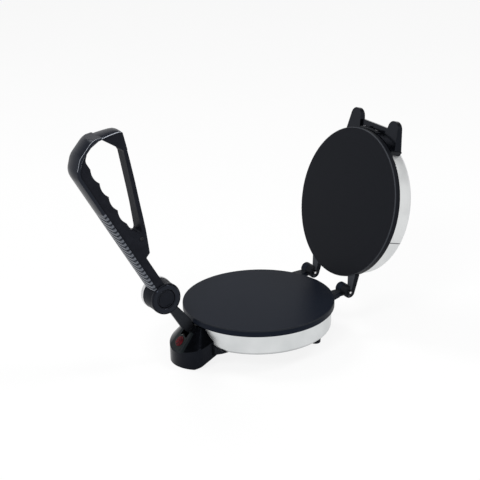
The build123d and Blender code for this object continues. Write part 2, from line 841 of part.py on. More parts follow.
with BuildPart() as cord_gland:
    with BuildSketch(Plane.YZ.offset(-housing_half_width)):
        with Locations((-gland_reach, gland_height)):
            Circle(gland_flange_radius)
    extrude(amount=-gland_flange)
    with BuildSketch(Plane.YZ.offset(-housing_half_width)):
        with Locations((-gland_reach, gland_height)):
            Circle(gland_radius)
    extrude(amount=housing_wall + gland_tail)
    with BuildSketch(Plane.YZ.offset(-housing_half_width - gland_flange)):
        with Locations((-gland_reach, gland_height)):
            Circle(gland_bore)
    extrude(amount=gland_flange + housing_wall + gland_tail, mode=Mode.SUBTRACT)
save(cord_gland, "cord_gland")

wire_radius = 1.1
wire_height = (wire_hole_low + wire_hole_high) / 2
wire_spread = 4.0
block_exit = SOLE.from_local_coords((0, block_setback + 3, block_height + 0.6))
tab_height = stack_bottom - bracket_strap - thermostat_height - 5
with BuildPart() as mains_wires:
    for side in (-1, 1):
        with BuildLine():
            path = FilletPolyline(
                (side * wire_spread, block_exit.Y, block_exit.Z),
                (side * wire_spread, block_exit.Y, wire_height),
                (side * wire_spread, -thermostat_reach, wire_height),
                (side * wire_spread, -thermostat_reach, tab_height),
                radius=3,
            )
        with BuildSketch(Plane(origin=path @ 0, z_dir=path % 0)):
            Circle(wire_radius)
        sweep(path=path)
save(mains_wires, "mains_wires")

# ================================================================ base: link bracket and hinge pins
with BuildPart() as link_bracket:
    with BuildSketch(Plane.XY.offset(bracket_low)):
        Circle(pan_radius + bracket_cheek)
        Circle(pan_radius, mode=Mode.SUBTRACT)
        with Locations((0, -pan_radius)):
            Rectangle(2 * bracket_half_width, 12, mode=Mode.INTERSECT)
    extrude(amount=bracket_high - bracket_low)
    for side in (-1, 1):
        with BuildSketch(Plane.YZ.offset(side * cheek_inner)):
            with BuildLine():
                Polyline(
                    (-pan_radius - bracket_cheek / 2, bracket_low),
                    (-link_pivot_reach, link_pivot_height - bracket_cheek_radius),
                    (-link_pivot_reach, link_pivot_height + bracket_cheek_radius),
                    (-pan_radius - bracket_cheek / 2, bracket_high),
                    close=True,
                )
            make_face()
            with Locations((-link_pivot_reach, link_pivot_height)):
                Circle(bracket_cheek_radius)
        extrude(amount=side * bracket_cheek)
    with BuildSketch(Plane.YZ.offset(-bracket_half_width)):
        with Locations((-link_pivot_reach, link_pivot_height)):
            Circle(link_pin_radius)
    extrude(amount=2 * bracket_half_width, mode=Mode.SUBTRACT)
    with BuildSketch(Plane.XZ.offset(pan_radius - 3 * cup_corner)):
        with Locations((-rivet_x, rivet_height), (rivet_x, rivet_height)):
            Circle(rivet_radius)
    extrude(amount=4 * cup_corner, mode=Mode.SUBTRACT)
save(link_bracket, "link_bracket")

with BuildPart() as link_pin:
    with BuildSketch(Plane.YZ.offset(-pin_half_length)):
        with Locations((-link_pivot_reach, link_pivot_height)):
            Circle(link_pin_radius)
    extrude(amount=2 * pin_half_length)
    for side in (-1, 1):
        with BuildSketch(Plane.YZ.offset(side * pin_half_length)):
            with Locations((-link_pivot_reach, link_pivot_height)):
                Circle(link_pin_radius + 1)
        extrude(amount=side * link_pin_head)
save(link_pin, "link_pin")

rivet_face = sqrt((pan_radius + bracket_cheek) ** 2 - rivet_x**2)
rivet_back = sqrt((pan_radius - sheet) ** 2 - (rivet_x + rivet_radius) ** 2) - 0.2
with BuildPart() as bracket_rivets:
    with BuildSketch(Plane.XZ.offset(rivet_back)):
        with Locations((-rivet_x, rivet_height), (rivet_x, rivet_height)):
            Circle(rivet_radius)
    extrude(amount=rivet_face - rivet_back + rivet_head)
    with BuildSketch(Plane.XZ.offset(rivet_face + 0.25)):
        with Locations((-rivet_x, rivet_height), (rivet_x, rivet_height)):
            Circle(rivet_head_radius)
    extrude(amount=rivet_head)
    with BuildSketch(Plane.XZ.offset(rivet_back)):
        with Locations((-rivet_x, rivet_height), (rivet_x, rivet_height)):
            Circle(rivet_head_radius)
    extrude(amount=-rivet_head)
save(bracket_rivets, "bracket_rivets")

pair_width = 2 * lug_width + lug_gap
for side, upper_face in (("left", -lug_spread + pair_width / 2), ("right", lug_spread + pair_width / 2)):
    with BuildPart() as hinge_pin:
        with BuildSketch(Plane.YZ.offset(upper_face - pair_width)):
            with Locations((hinge_reach, hinge_height)):
                Circle(hinge_pin_radius)
        extrude(amount=pair_width + part_clearance)
        with BuildSketch(Plane.YZ.offset(upper_face + part_clearance)):
            with Locations((hinge_reach, hinge_height)):
                Circle(hinge_pin_head_radius)
        extrude(amount=hinge_pin_head)
        fillet(hinge_pin.faces().sort_by(Axis.X)[-1].edges(), hinge_pin_head * 0.7)
    save(hinge_pin, f"hinge_pin_{side}")

# ================================================================ lid
with BuildPart() as upper_plate:
    with Locations(LID):
        add(plate_casting(cover_depth - sheet, hinge_pin_radius + running_clearance))
save(upper_plate, "upper_plate")
heater_stack(LID, "upper")
cup_screws(LID, cover_depth, "cover_screws")

# the bracket is drawn with the lid shut, heights measured from the upper plate's face
SHUT = LID * Rot(Y=180)
bracket_screw_angle = degrees(bracket_screw_spread / foot_outer_radius)
front_angles = [-90 - bracket_screw_angle, -90 + bracket_screw_angle]
bracket_screw_height = (clamp_low + clamp_high) / 2


def radial_frames(radius, height):
    """Frames at the bracket screws, each with its z pointing away from the lid's centre."""
    return [Rot(Z=angle) * Pos(radius, 0, height) * Rot(Y=90) for angle in front_angles]


with BuildPart() as upper_cover:
    with Locations(LID):
        add(drawn_cup(cover_radius, cover_depth))
    for frame in radial_frames(cover_radius - 2 * sheet, bracket_screw_height):
        with Locations(SHUT * frame):
            Cylinder(
                screw_radius, 4 * sheet, align=(Align.CENTER, Align.CENTER, Align.MIN), mode=Mode.SUBTRACT
            )
save(upper_cover, "upper_cover")


def sector(inner_radius, outer_radius, half_angle, low, high):
    """Curved bar about the lid's axis, centred on the front."""
    edge = 2 * outer_radius
    with BuildPart() as bar:
        with BuildSketch(Plane.XY.offset(low)):
            Circle(outer_radius)
            Circle(inner_radius, mode=Mode.SUBTRACT)
            with BuildLine():
                Polyline(
                    (0, 0),
                    (edge * sin(radians(half_angle)), -edge * cos(radians(half_angle))),
                    (-edge * sin(radians(half_angle)), -edge * cos(radians(half_angle))),
                    close=True,
                )
            make_face(mode=Mode.INTERSECT)
        extrude(amount=high - low)
    return bar.part


ear_slope = (foot_high - ear_low - ear_tip_thickness) / ear_slope_run
ear_inner_start = cover_radius - ear_inner_root
ear_outer_start = cover_radius - ear_outer_root
with BuildPart() as bracket_shape:
    add(sector(cover_radius, foot_outer_radius, bracket_span, foot_low, foot_high))
    for side in (-1, 1):
        tip = ear_reach - ear_tip_radius
        with BuildSketch(Plane.XY.offset(ear_low)):
            with BuildLine():
                Line((side * ear_inner_base, -ear_inner_start), (side * (ear_centre - ear_tip_radius), -tip))
                ThreePointArc(
                    (side * (ear_centre - ear_tip_radius), -tip),
                    (side * ear_centre, -ear_reach),
                    (side * (ear_centre + ear_tip_radius), -tip),
                )
                Line((side * (ear_centre + ear_tip_radius), -tip), (side * ear_outer_base, -ear_outer_start))
                Line((side * ear_outer_base, -ear_outer_start), (side * ear_inner_base, -ear_inner_start))
            make_face()
        extrude(amount=foot_high - ear_low)
    with BuildSketch(Plane.XY.offset(web_low)):
        with Locations((0, -(web_reach + ear_inner_start) / 2)):
            Rectangle(2 * web_half_width, web_reach - ear_inner_start)
    extrude(amount=web_thickness)
    slope_normal = Vector(0, -ear_slope, 1).normalized()
    split(
        bisect_by=Plane(
            origin=(0, -ear_reach, ear_low + ear_tip_thickness), x_dir=(1, 0, 0), z_dir=slope_normal
        ),
        keep=Keep.BOTTOM,
    )
    with BuildSketch():
        Circle(cover_radius)
    extrude(amount=2 * foot_high, mode=Mode.SUBTRACT)
    for frame in radial_frames(cover_radius - sheet, bracket_screw_height):
        with Locations(frame):
            Cylinder(
                screw_radius, 2 * foot_wall, align=(Align.CENTER, Align.CENTER, Align.MIN), mode=Mode.SUBTRACT
            )
with BuildPart() as lid_bracket:
    with Locations(SHUT):
        add(bracket_shape.part)
save(lid_bracket, "lid_bracket")

clamp_angle = degrees(clamp_half_width / foot_outer_radius)
with BuildPart() as clamp_shape:
    add(
        sector(foot_outer_radius, foot_outer_radius + clamp_thickness, clamp_angle, clamp_low, clamp_high)
    )
    for frame in radial_frames(cover_radius, bracket_screw_height):
        with Locations(frame):
            Cylinder(
                screw_radius, 2 * foot_wall, align=(Align.CENTER, Align.CENTER, Align.MIN), mode=Mode.SUBTRACT
            )
with BuildPart() as bracket_clamp:
    with Locations(SHUT):
        add(clamp_shape.part)
save(bracket_clamp, "bracket_clamp")

screw_face = foot_outer_radius + clamp_thickness
with BuildPart() as bracket_screws:
    for frame in radial_frames(screw_face, bracket_screw_height):
        with Locations(SHUT * frame):
            add(screw(screw_face - cover_radius + 3, head_radius=2.6))
save(bracket_screws, "bracket_screws")

# ================================================================ link
with BuildPart() as link_arm:
    with BuildSketch(LINK.offset(-link_thickness / 2)):
        with BuildLine():
            Polyline(
                (-link_eye_radius, 0),
                (-link_heel_front, link_heel_height),
                (-link_neck_front, link_neck_height),
                (-link_neck_front, link_length),
                (link_neck_front, link_length),
                (link_neck_back, link_neck_height),
                (link_heel_back, link_heel_height),
                (link_eye_radius, 0),
                close=True,
            )
        outline = make_face()
        fillet(outline.vertices().group_by(Axis.Y)[1], link_heel_round)
        Circle(link_eye_radius)
        with Locations((0, link_length)):
            Circle(link_top_radius)
            Circle(pivot_bolt_radius + running_clearance, mode=Mode.SUBTRACT)
        Circle(link_pin_radius + running_clearance, mode=Mode.SUBTRACT)
    extrude(amount=link_thickness)
save(link_arm, "link_arm")

# ================================================================ handle
KNUCKLE = Plane.YZ.shift_origin((0, knuckle_y, knuckle_z))
scallop_end = scallop_first + 4 * scallop_pitch
handle_height = scallop_end + handle_crown
top_corners = [(-grip_front, handle_height - 25.0), (8.0, handle_height - 10.0), (33.0, handle_height - 1.6)]
top_round = 20.0
back_corner = (71.0, handle_height - 14.0)
bar_top = (70.5, handle_height - 21.0)
bar_foot = (16.0, 67.5)
bar_bow = 2.4
neck_top = (neck_back, 65.2)
opening_foot = (20.5, scallop_first - 25.8)
opening_heel = (23.9, scallop_first - 21.2)
opening_throat = (scallop_crest, scallop_first - 11.3)
opening_front = (scallop_crest, handle_height - 18.0)
opening_crown = (22.0, handle_height - 9.2)
opening_corner = (43.2, handle_height - 8.2)
opening_back = (59.2, handle_height - 39.0)
opening_side = (58.6, handle_height - 43.0)
opening_bow = 0.36
strip_end = (45.0, handle_height - 4.7)


def handle_face():
    """Side outline of the handle without its opening, front edge straight, right bar bowed."""
    with BuildSketch() as outline:
        with BuildLine():
            FilletPolyline((-grip_front, 0), *top_corners, back_corner, radius=top_round)
            Line(back_corner, bar_top)
            SagittaArc(bar_top, bar_foot, bar_bow)
            Polyline(bar_foot, neck_top, (neck_back, 0), (-grip_front, 0))
        make_face()
        for point, radius in ((back_corner, 3.5), (neck_top, 2.0), (bar_foot, 2.0)):
            fillet(outline.vertices().sort_by_distance((*point, 0))[0], radius)
    return outline.sketch


def opening_face():
    """Finger opening, with a scalloped edge for four fingers on the grip's side."""
    with BuildSketch() as opening:
        with BuildLine():
            Polyline(opening_foot, opening_throat, (scallop_crest, scallop_first))
            for finger in range(4):
                low = scallop_first + finger * scallop_pitch
                ThreePointArc(
                    (scallop_crest, low),
                    (scallop_crest - scallop_depth, low + scallop_pitch / 2),
                    (scallop_crest, low + scallop_pitch),
                )
            Polyline(
                (scallop_crest, scallop_end),
                opening_front,
                opening_crown,
                opening_corner,
                opening_back,
                opening_side,
            )
            SagittaArc(opening_side, opening_heel, opening_bow)
            Line(opening_heel, opening_foot)
        make_face()
        for point, radius in (
            (opening_foot, 1.8),
            (opening_front, 8.0),
            (opening_crown, 8.0),
            (opening_corner, 1.5),
        ):
            fillet(opening.vertices().sort_by_distance((*point, 0))[0], radius)
    return opening.sketch


def crowned_section(plane, inset):
    """Cross-section of the grip strip, its crowned side drawn in by inset."""
    with BuildSketch(plane) as section:
        with BuildLine():
            ThreePointArc((-grip_half_width, inset), (0, inset - grip_crown), (grip_half_width, inset))
            Polyline(
                (grip_half_width, inset),
                (grip_half_width, grip_strip),
                (-grip_half_width, grip_strip),
                (-grip_half_width, inset),
            )
        make_face()
    return section.sketch


with BuildPart() as strip_blank:
    with BuildLine(GRIP):
        strip_path = FilletPolyline((-grip_front, grip_start), *top_corners, strip_end, radius=top_round)
    add(crowned_section(Plane(origin=strip_path @ 0, x_dir=(1, 0, 0), z_dir=strip_path % 0), 0))
    sweep(path=strip_path)

rib_plane = Plane(
    origin=GRIP.from_local_coords((-grip_front - grip_crown - 1, 0, 0)),
    x_dir=(1, 0, 0),
    z_dir=-GRIP.x_dir,
)
with BuildPart() as groove_cutter:
    with BuildSketch(rib_plane):
        for rib in range(rib_count):
            with Locations(Location((0, rib_first + rib * rib_pitch), -rib_slant)):
                Rectangle(3 * grip_half_width, rib_groove)
    extrude(amount=-grip_crown - 1 - rib_depth - 0.5)
    with BuildSketch(mode=Mode.PRIVATE) as core:
        add(crowned_section(Plane(origin=strip_path @ 0, x_dir=(1, 0, 0), z_dir=strip_path % 0), rib_depth))
    extrude(to_extrude=core.sketch, amount=top_corners[0][1] - grip_start, mode=Mode.SUBTRACT)
with BuildPart() as handle_grip:
    add(strip_blank.part)
    add(groove_cutter.part, mode=Mode.SUBTRACT)
save(handle_grip, "handle_grip")

cross_screw_places = [(17.5, 91.5, 1), (3.0, 62.0, -1), (5.0, 150.0, -1), (62.0, 222.0, -1)]
cross_screw_frames = [
    GRIP.location * Pos(u, v, side * frame_half_width) * Rot(X=90 - 90 * side)
    for u, v, side in cross_screw_places
]
with BuildPart() as handle_frame:
    with BuildSketch(GRIP.offset(-frame_half_width)):
        add(handle_face())
        add(opening_face(), mode=Mode.SUBTRACT)
    extrude(amount=2 * frame_half_width)
    # the bowed bar is thinner than the grip, and tapers from the grip's width at its foot
    thin_origin = GRIP.from_local_coords((bar_thin_front, 0, 0))
    for side in (-1, 1):
        with BuildSketch(Plane(origin=thin_origin, x_dir=(1, 0, 0), z_dir=GRIP.x_dir)):
            with BuildLine():
                Polyline(
                    (side * frame_half_width, -bar_taper_start),
                    (side * bar_half_width, -bar_taper_end),
                    (side * bar_half_width, -bar_thin_end),
                    (side * (frame_half_width + 1), -bar_thin_end),
                    (side * (frame_half_width + 1), -bar_taper_start),
                    close=True,
                )
            make_face()
        extrude(amount=handle_height, mode=Mode.SUBTRACT)
    add(strip_blank.part, mode=Mode.SUBTRACT)
    with BuildSketch(KNUCKLE.offset(-knuckle_half_width)):
        Circle(knuckle_radius)
    extrude(amount=2 * knuckle_half_width)
    link_angle = link_lean - 90
    with BuildSketch(KNUCKLE.offset(-knuckle_slot)):
        far = 3 * knuckle_radius
        sweep_angles = [link_angle, link_angle + handle_fold / 2, link_angle + handle_fold]
        with BuildLine():
            Polyline(
                (0, 0), *[(far * cos(radians(a)), far * sin(radians(a))) for a in sweep_angles], close=True
            )
        make_face()
        Circle(knuckle_slot_radius)
        for angle in (sweep_angles[0], sweep_angles[2]):
            with Locations(Location((0, 0), angle)):
                Rectangle(far, 2 * knuckle_slot_end, align=(Align.MIN, Align.CENTER))
    extrude(amount=2 * knuckle_slot, mode=Mode.SUBTRACT)
    with BuildSketch(KNUCKLE.offset(-knuckle_half_width)):
        Circle(pivot_bolt_radius)
    extrude(amount=2 * knuckle_half_width, mode=Mode.SUBTRACT)
    with BuildSketch(KNUCKLE.offset(knuckle_half_width)):
        Circle(cap_recess_radius)
    extrude(amount=-cap_recess_depth, mode=Mode.SUBTRACT)
    for frame in cross_screw_frames:
        with Locations(frame):
            Cylinder(
                screw_radius,
                cross_screw_length,
                align=(Align.CENTER, Align.CENTER, Align.MAX),
                mode=Mode.SUBTRACT,
            )
save(handle_frame, "handle_frame")

with BuildPart() as handle_screws:
    for frame in cross_screw_frames:
        with Locations(frame):
            add(screw(cross_screw_length, head_radius=2.4, head_height=1.2))
save(handle_screws, "handle_screws")

# ================================================================ handle pivot
bolt_seat = knuckle_half_width - cap_recess_depth
nut_seat = -knuckle_half_width - end_plate_thickness
bolt_end = nut_seat - nut_height - 0.8
with BuildPart() as pivot_bolt:
    with BuildSketch(KNUCKLE.offset(bolt_end)):
        Circle(pivot_bolt_radius)
    extrude(amount=bolt_seat - bolt_end)
    with BuildSketch(KNUCKLE.offset(bolt_seat)):
        Circle(bolt_head_radius)
    extrude(amount=bolt_head)
    fillet(pivot_bolt.faces().sort_by(Axis.X)[-1].edges(), 1)
save(pivot_bolt, "pivot_bolt")

with BuildPart() as pivot_cap:
    with BuildSketch(KNUCKLE.offset(knuckle_half_width - cap_inset - cap_thickness)):
        Circle(cap_recess_radius)
    extrude(amount=cap_thickness)
    fillet(pivot_cap.faces().sort_by(Axis.X)[-1].edges(), 0.8)
save(pivot_cap, "pivot_cap")

with BuildPart() as pivot_end_plate:
    with BuildSketch(KNUCKLE.offset(-knuckle_half_width)):
        Circle(end_plate_radius)
        Circle(pivot_bolt_radius, mode=Mode.SUBTRACT)
    extrude(amount=-end_plate_thickness)
save(pivot_end_plate, "pivot_end_plate")

with BuildPart() as pivot_nut:
    with BuildSketch(KNUCKLE.offset(nut_seat)):
        RegularPolygon(pivot_nut_flats / 2, 6, major_radius=False)
    extrude(amount=-nut_height)
    with BuildSketch(KNUCKLE.offset(nut_seat - nut_height)):
        Circle(pivot_nut_flats / 2 - 0.4)
    extrude(amount=-pivot_nut_dome)
    fillet(pivot_nut.faces().sort_by(Axis.X)[0].edges(), pivot_nut_dome * 0.9)
    with BuildSketch(KNUCKLE.offset(nut_seat)):
        Circle(pivot_bolt_radius)
    extrude(amount=bolt_end - nut_seat, mode=Mode.SUBTRACT)
save(pivot_nut, "pivot_nut")

with BuildPart() as friction_washers:
    for side in (-1, 1):
        with BuildSketch(KNUCKLE.offset(side * knuckle_slot)):
            Circle(washer_radius)
            Circle(pivot_bolt_radius, mode=Mode.SUBTRACT)
        extrude(amount=-side * washer_thickness)
save(friction_washers, "friction_washers")
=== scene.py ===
"""Electric roti maker with its lid open and its press handle raised, dressed for rendering."""

import logging
import math
from collections.abc import Callable, Iterator, Sequence
from contextlib import contextmanager
from dataclasses import dataclass, replace
from enum import Enum

import bpy
from mathutils import Matrix, Vector


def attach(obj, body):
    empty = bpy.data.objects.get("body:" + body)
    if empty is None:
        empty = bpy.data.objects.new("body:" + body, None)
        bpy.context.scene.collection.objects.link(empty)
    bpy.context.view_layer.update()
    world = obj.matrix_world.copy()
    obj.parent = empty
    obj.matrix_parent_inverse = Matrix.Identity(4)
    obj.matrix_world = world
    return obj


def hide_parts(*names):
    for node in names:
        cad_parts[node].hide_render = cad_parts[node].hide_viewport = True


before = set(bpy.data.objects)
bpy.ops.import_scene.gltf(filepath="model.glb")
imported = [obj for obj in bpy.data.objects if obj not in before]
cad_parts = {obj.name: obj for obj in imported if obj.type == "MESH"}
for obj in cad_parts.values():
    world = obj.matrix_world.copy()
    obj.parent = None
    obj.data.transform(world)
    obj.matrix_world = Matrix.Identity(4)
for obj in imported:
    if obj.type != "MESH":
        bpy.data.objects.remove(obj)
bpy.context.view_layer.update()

log = logging.getLogger("roti_maker")

Colour = tuple[float, float, float]
Pair = tuple[float, float]
Triple = tuple[float, float, float]
Piece = bpy.types.Object
Socket = bpy.types.NodeSocket
Looks = tuple[Socket, Socket]  # colour and roughness

ACROSS = Vector((1.0, 0.0, 0.0))
PLATE_CENTRE = Vector((0.0, 0.0295, 0.0604))  # middle of the lower cooking face
PLATE_GAP = 0.00105  # between the cooking faces when the lid is shut
HINGE = Vector((0.0, 0.1418, 0.060925))
LID_OPEN = math.radians(105.5)
KNUCKLE = Vector((0.0, -0.116055, 0.101513))  # middle of the handle's pivot
GRIP_LEAN = math.radians(29.4)
SLOPE_FOOT = Vector((0.0, -0.102, 0.0213))  # foot of the housing's sloping front
SLOPE = math.radians(48.378)


def lid_transform() -> Matrix:
    """Work out how the lid opens.

    Returns:
        The matrix from the shut lid, drawn about the plate's centre, to the open lid.
    """
    shut_centre = Vector((0.0, PLATE_CENTRE.y, HINGE.z + PLATE_GAP / 2))
    opened = Matrix.Translation(HINGE) @ Matrix.Rotation(-LID_OPEN, 4, "X")
    return opened @ Matrix.Translation(shut_centre - HINGE)


def axes_at(origin: Vector, along: Vector, out: Vector) -> Matrix:
    """Return the matrix from axes at origin: X across the object, Y along and Z out."""
    return Matrix.Translation(origin) @ Matrix((ACROSS, along, out)).transposed().to_4x4()


def grip_transform() -> Matrix:
    """Work out the grip's own axes.

    Returns:
        The matrix from them to the shared frame: X across the handle, Y along the grip upwards,
        Z towards the grip's front edge.
    """
    along = Vector((0.0, -math.sin(GRIP_LEAN), math.cos(GRIP_LEAN)))
    forward = Vector((0.0, -math.cos(GRIP_LEAN), -math.sin(GRIP_LEAN)))
    return axes_at(KNUCKLE, along, forward)


def slope_transform() -> Matrix:
    """Work out the axes of the housing's sloping front.

    Returns:
        The matrix from them to the shared frame: X across, Y up the slope, Z out of it.
    """
    up = Vector((0.0, math.cos(SLOPE), math.sin(SLOPE)))
    out = Vector((0.0, -math.sin(SLOPE), math.cos(SLOPE)))
    return axes_at(SLOPE_FOOT, up, out)


class Body(Enum):
    """The bodies that pieces move with."""

    BASE = "base"
    LID = "lid"
    LINK = "link"
    HANDLE = "handle"


class Slot(Enum):
    """The record's material slots."""

    CASTING = "nonstick_casting"
    BAKELITE = "bakelite"
    PANEL = "dark_panel"
    LENS = "red_lens"
    BLACK_STEEL = "black_steel"
    BRIGHT_STEEL = "bright_steel"


class Axes(Enum):
    """Whose axes a pattern is drawn in."""

    WORLD = "world"
    BASE = "base"
    LID = "lid"
    GRIP = "grip"
    SLOPE = "slope"

    def placing(self) -> Matrix:
        """Look up these axes.

        Returns:
            The matrix from them to the shared frame.
        """
        if self is Axes.BASE:
            return Matrix.Translation(PLATE_CENTRE)
        if self is Axes.LID:
            return lid_transform()
        if self is Axes.GRIP:
            return grip_transform()
        if self is Axes.SLOPE:
            return slope_transform()
        return Matrix.Identity(4)


# ---------------------------------------------------------------- materials
WHITE = (1.0, 1.0, 1.0)
# The colour sockets of a Mix node, whose names its other sockets have too.
MIX_SHARE, MIX_COLOUR, MIX_OTHER, MIX_RESULT = 0, 6, 7, 2


class Graph:
    """The nodes of a material or a world, with short calls for adding and linking them."""

    def __init__(self, owner: bpy.types.Material | bpy.types.World, output: str) -> None:
        """Empty the owner's nodes and add an output.

        Args:
            owner: The material or world.
            output: The output's type without its ShaderNode prefix.
        """
        owner.use_nodes = True
        self.nodes = owner.node_tree.nodes
        self.links = owner.node_tree.links
        self.nodes.clear()
        self.output = self.node(output)

    def node(self, kind: str, **inputs: object) -> bpy.types.Node:
        """Add a node and fill its sockets.

        Args:
            kind: The node's type without its ShaderNode prefix.
            **inputs: Values or output sockets by input name, with spaces written as underscores.

        Returns:
            The new node.
        """
        made = self.nodes.new(f"ShaderNode{kind}")
        for key, value in inputs.items():
            self.feed(made.inputs[key.replace("_", " ")], value)
        return made

    def feed(self, socket: Socket, value: object) -> None:
        """Fill an input socket.

        Args:
            socket: The input.
            value: An output socket to link to it, or its plain value.
        """
        if isinstance(value, Socket):
            self.links.new(value, socket)
        else:
            socket.default_value = value

    def math(self, operation: str, *values: object) -> Socket:
        """Add a Math node.

        Args:
            operation: What it works out, by its name in Blender.
            *values: Up to three output sockets or plain values.

        Returns:
            Its result.
        """
        made = self.node("Math")
        made.operation = operation
        for socket, value in zip(made.inputs, values):
            self.feed(socket, value)
        return made.outputs[0]

    def times(self, value: object, other: object) -> Socket:
        """Return the product of two values."""
        return self.math("MULTIPLY", value, other)

    def weigh(self, value: Socket, share: float, other: Socket) -> Socket:
        """Return the mean of two values, in which the first has the given share."""
        return self.math("MULTIPLY_ADD", value, share, self.times(other, 1.0 - share))

    def axes_of(self, where: Socket) -> tuple[Socket, Socket, Socket]:
        """Return the three parts of a point or a direction."""
        parts = self.node("SeparateXYZ", Vector=where).outputs
        return parts["X"], parts["Y"], parts["Z"]

    def mirrored(self) -> Socket:
        """Return 1 for what is seen in or through a surface, and 0 for the rest."""
        return self.math("MAXIMUM", self.path("Is Glossy Ray"), self.path("Is Transmission Ray"))

    def path(self, ray: str) -> Socket:
        """Return 1 for one kind of ray, and 0 for the rest."""
        return self.node("LightPath").outputs[ray]


class Tree(Graph):
    """A material's nodes round one Principled shader, and the point that they are drawn at."""

    def __init__(self, name: str, axes: Axes = Axes.WORLD) -> None:
        """Make a material with an output, the shader and the point.

        Args:
            name: Name of the new material.
            axes: The axes that its patterns are drawn in.
        """
        self.material = bpy.data.materials.new(name)
        super().__init__(self.material, "OutputMaterial")
        self.shader = self.node("BsdfPrincipled")
        self.links.new(self.shader.outputs["BSDF"], self.output.inputs["Surface"])
        self.where = self.node("TexCoord").outputs["Object"]
        if axes is not Axes.WORLD:
            back = axes.placing().inverted()
            mapping = self.node("Mapping", Vector=self.where)
            mapping.inputs["Location"].default_value = back.to_translation()
            mapping.inputs["Rotation"].default_value = back.to_euler()
            self.where = mapping.outputs["Vector"]

    def ramp(self, factor: Socket, stops: Pair, dark: Colour, light: Colour) -> Socket:
        """Run from one colour to another.

        Args:
            factor: What drives the ramp.
            stops: Where the first colour ends and where the second begins.
            dark: The first colour.
            light: The second colour.

        Returns:
            The ramp's colour.
        """
        made = self.node("ValToRGB", Fac=factor)
        for element, stop, colour in zip(made.color_ramp.elements, stops, (dark, light)):
            element.position = stop
            element.color = (*colour, 1.0)
        return made.outputs["Color"]

    def span(self, value: Socket, low: float, high: float) -> Socket:
        """Return a value that runs from 0 to 1, mapped to run from low to high."""
        return self.node("MapRange", Value=value, To_Min=low, To_Max=high).outputs["Result"]

    def step(self, value: Socket, edge: float, soft: float) -> Socket:
        """Return 1 where value is below edge and 0 above it, over a soft width."""
        limits = {"From_Min": edge, "From_Max": edge + soft, "To_Min": 1.0, "To_Max": 0.0}
        return self.node("MapRange", Value=value, **limits).outputs["Result"]

    def noise(self, scale: float, octaves: float = 2.0, swirl: float = 0.0) -> Socket:
        """Return noise of the given scale, in features per metre."""
        values = {"Scale": scale, "Detail": octaves, "Distortion": swirl}
        return self.node("TexNoise", Vector=self.where, **values).outputs["Fac"]

    def line_noise(self, track: Socket, scale: float) -> Socket:
        """Draw noise along one line only.

        Args:
            track: How far along the line a point is.
            scale: Lines per metre.

        Returns:
            The noise.
        """
        made = self.node("TexNoise", Scale=scale)
        made.noise_dimensions = "1D"
        self.feed(made.inputs["W"], track)
        return made.outputs["Fac"]

    def blend(self, share: Socket, colour: Socket, other: Colour) -> Socket:
        """Go over from one colour to another.

        Args:
            share: The other colour's share, from 0 to 1.
            colour: The colour where the share is 0.
            other: The plain colour where it is 1.

        Returns:
            The blended colour.
        """
        mix = self.node("Mix")
        mix.data_type = "RGBA"
        self.feed(mix.inputs[MIX_SHARE], share)
        self.feed(mix.inputs[MIX_COLOUR], colour)
        self.feed(mix.inputs[MIX_OTHER], (*other, 1.0))
        return mix.outputs[MIX_RESULT]

    def radius_of(self, across: Socket, along: Socket) -> Socket:
        """Return the distance from an axis of two perpendicular offsets."""
        squares = self.math("ADD", *(self.math("POWER", offset, 2.0) for offset in (across, along)))
        return self.math("SQRT", squares)

    def bump(self, height: Socket, strength: float, distance: float) -> None:
        """Raise the surface by height, distance metres at most."""
        made = self.node("Bump", Height=height, Strength=strength, Distance=distance)
        self.links.new(made.outputs["Normal"], self.shader.inputs["Normal"])

    def set(self, **sockets: object) -> None:
        """Fill the Principled shader's sockets."""
        for key, value in sockets.items():
            self.feed(self.shader.inputs[key.replace("_", " ")], value)


@dataclass(frozen=True)
class Finish:
    """A finish: a dark and a light colour that mottle into each other, gloss and fine texture."""

    name: str
    dark: Colour
    light: Colour
    roughness: Pair
    metallic: float = 0.0
    specular: float = 0.5
    tint: Colour = WHITE
    grain: float = 900.0  # features per metre
    relief: float = 0.00002  # height of the grain in metres
    axes: Axes = Axes.WORLD
    octaves: float = 4.0  # of the grain
    bump: float = 0.6  # strength of the grain
    patches: float = 22.0  # features per metre
    stops: Pair = (0.3, 0.7)  # where the pattern is all dark and all light

    @property
    def label(self) -> str:
        """Return the material's name, kept apart from the names of the record's slots."""
        return f"{self.name}_finish"

    def build(self) -> bpy.types.Material:
        """Return the material, made on the first call and kept."""
        return bpy.data.materials.get(self.label) or self.make()

    def make(self) -> bpy.types.Material:
        """Make the material.

        Returns:
            The new material.
        """
        tree = Tree(self.label, self.axes)
        tree.set(Metallic=self.metallic, Specular_IOR_Level=self.specular)
        tree.set(Specular_Tint=(*self.tint, 1.0))
        self.paint(tree)
        return tree.material

    def paint(self, tree: Tree) -> None:
        """Colour the surface, set its gloss and raise the grain.

        Args:
            tree: The material's nodes.
        """
        grain = tree.noise(self.grain, self.octaves)
        colour, roughness = self.surface(tree, grain)
        tree.set(Base_Color=colour, Roughness=roughness)
        tree.bump(grain, self.bump, self.relief)

    def surface(self, tree: Tree, grain: Socket) -> Looks:
        """Return the colour, mottled in patches, and the roughness, varied by the grain."""
        colour = self.shade(tree, tree.noise(self.patches))
        return colour, tree.span(grain, *self.roughness)

    def shade(self, tree: Tree, pattern: Socket) -> Socket:
        """Return the finish's dark and light colours, laid out by a pattern."""
        return tree.ramp(pattern, self.stops, self.dark, self.light)


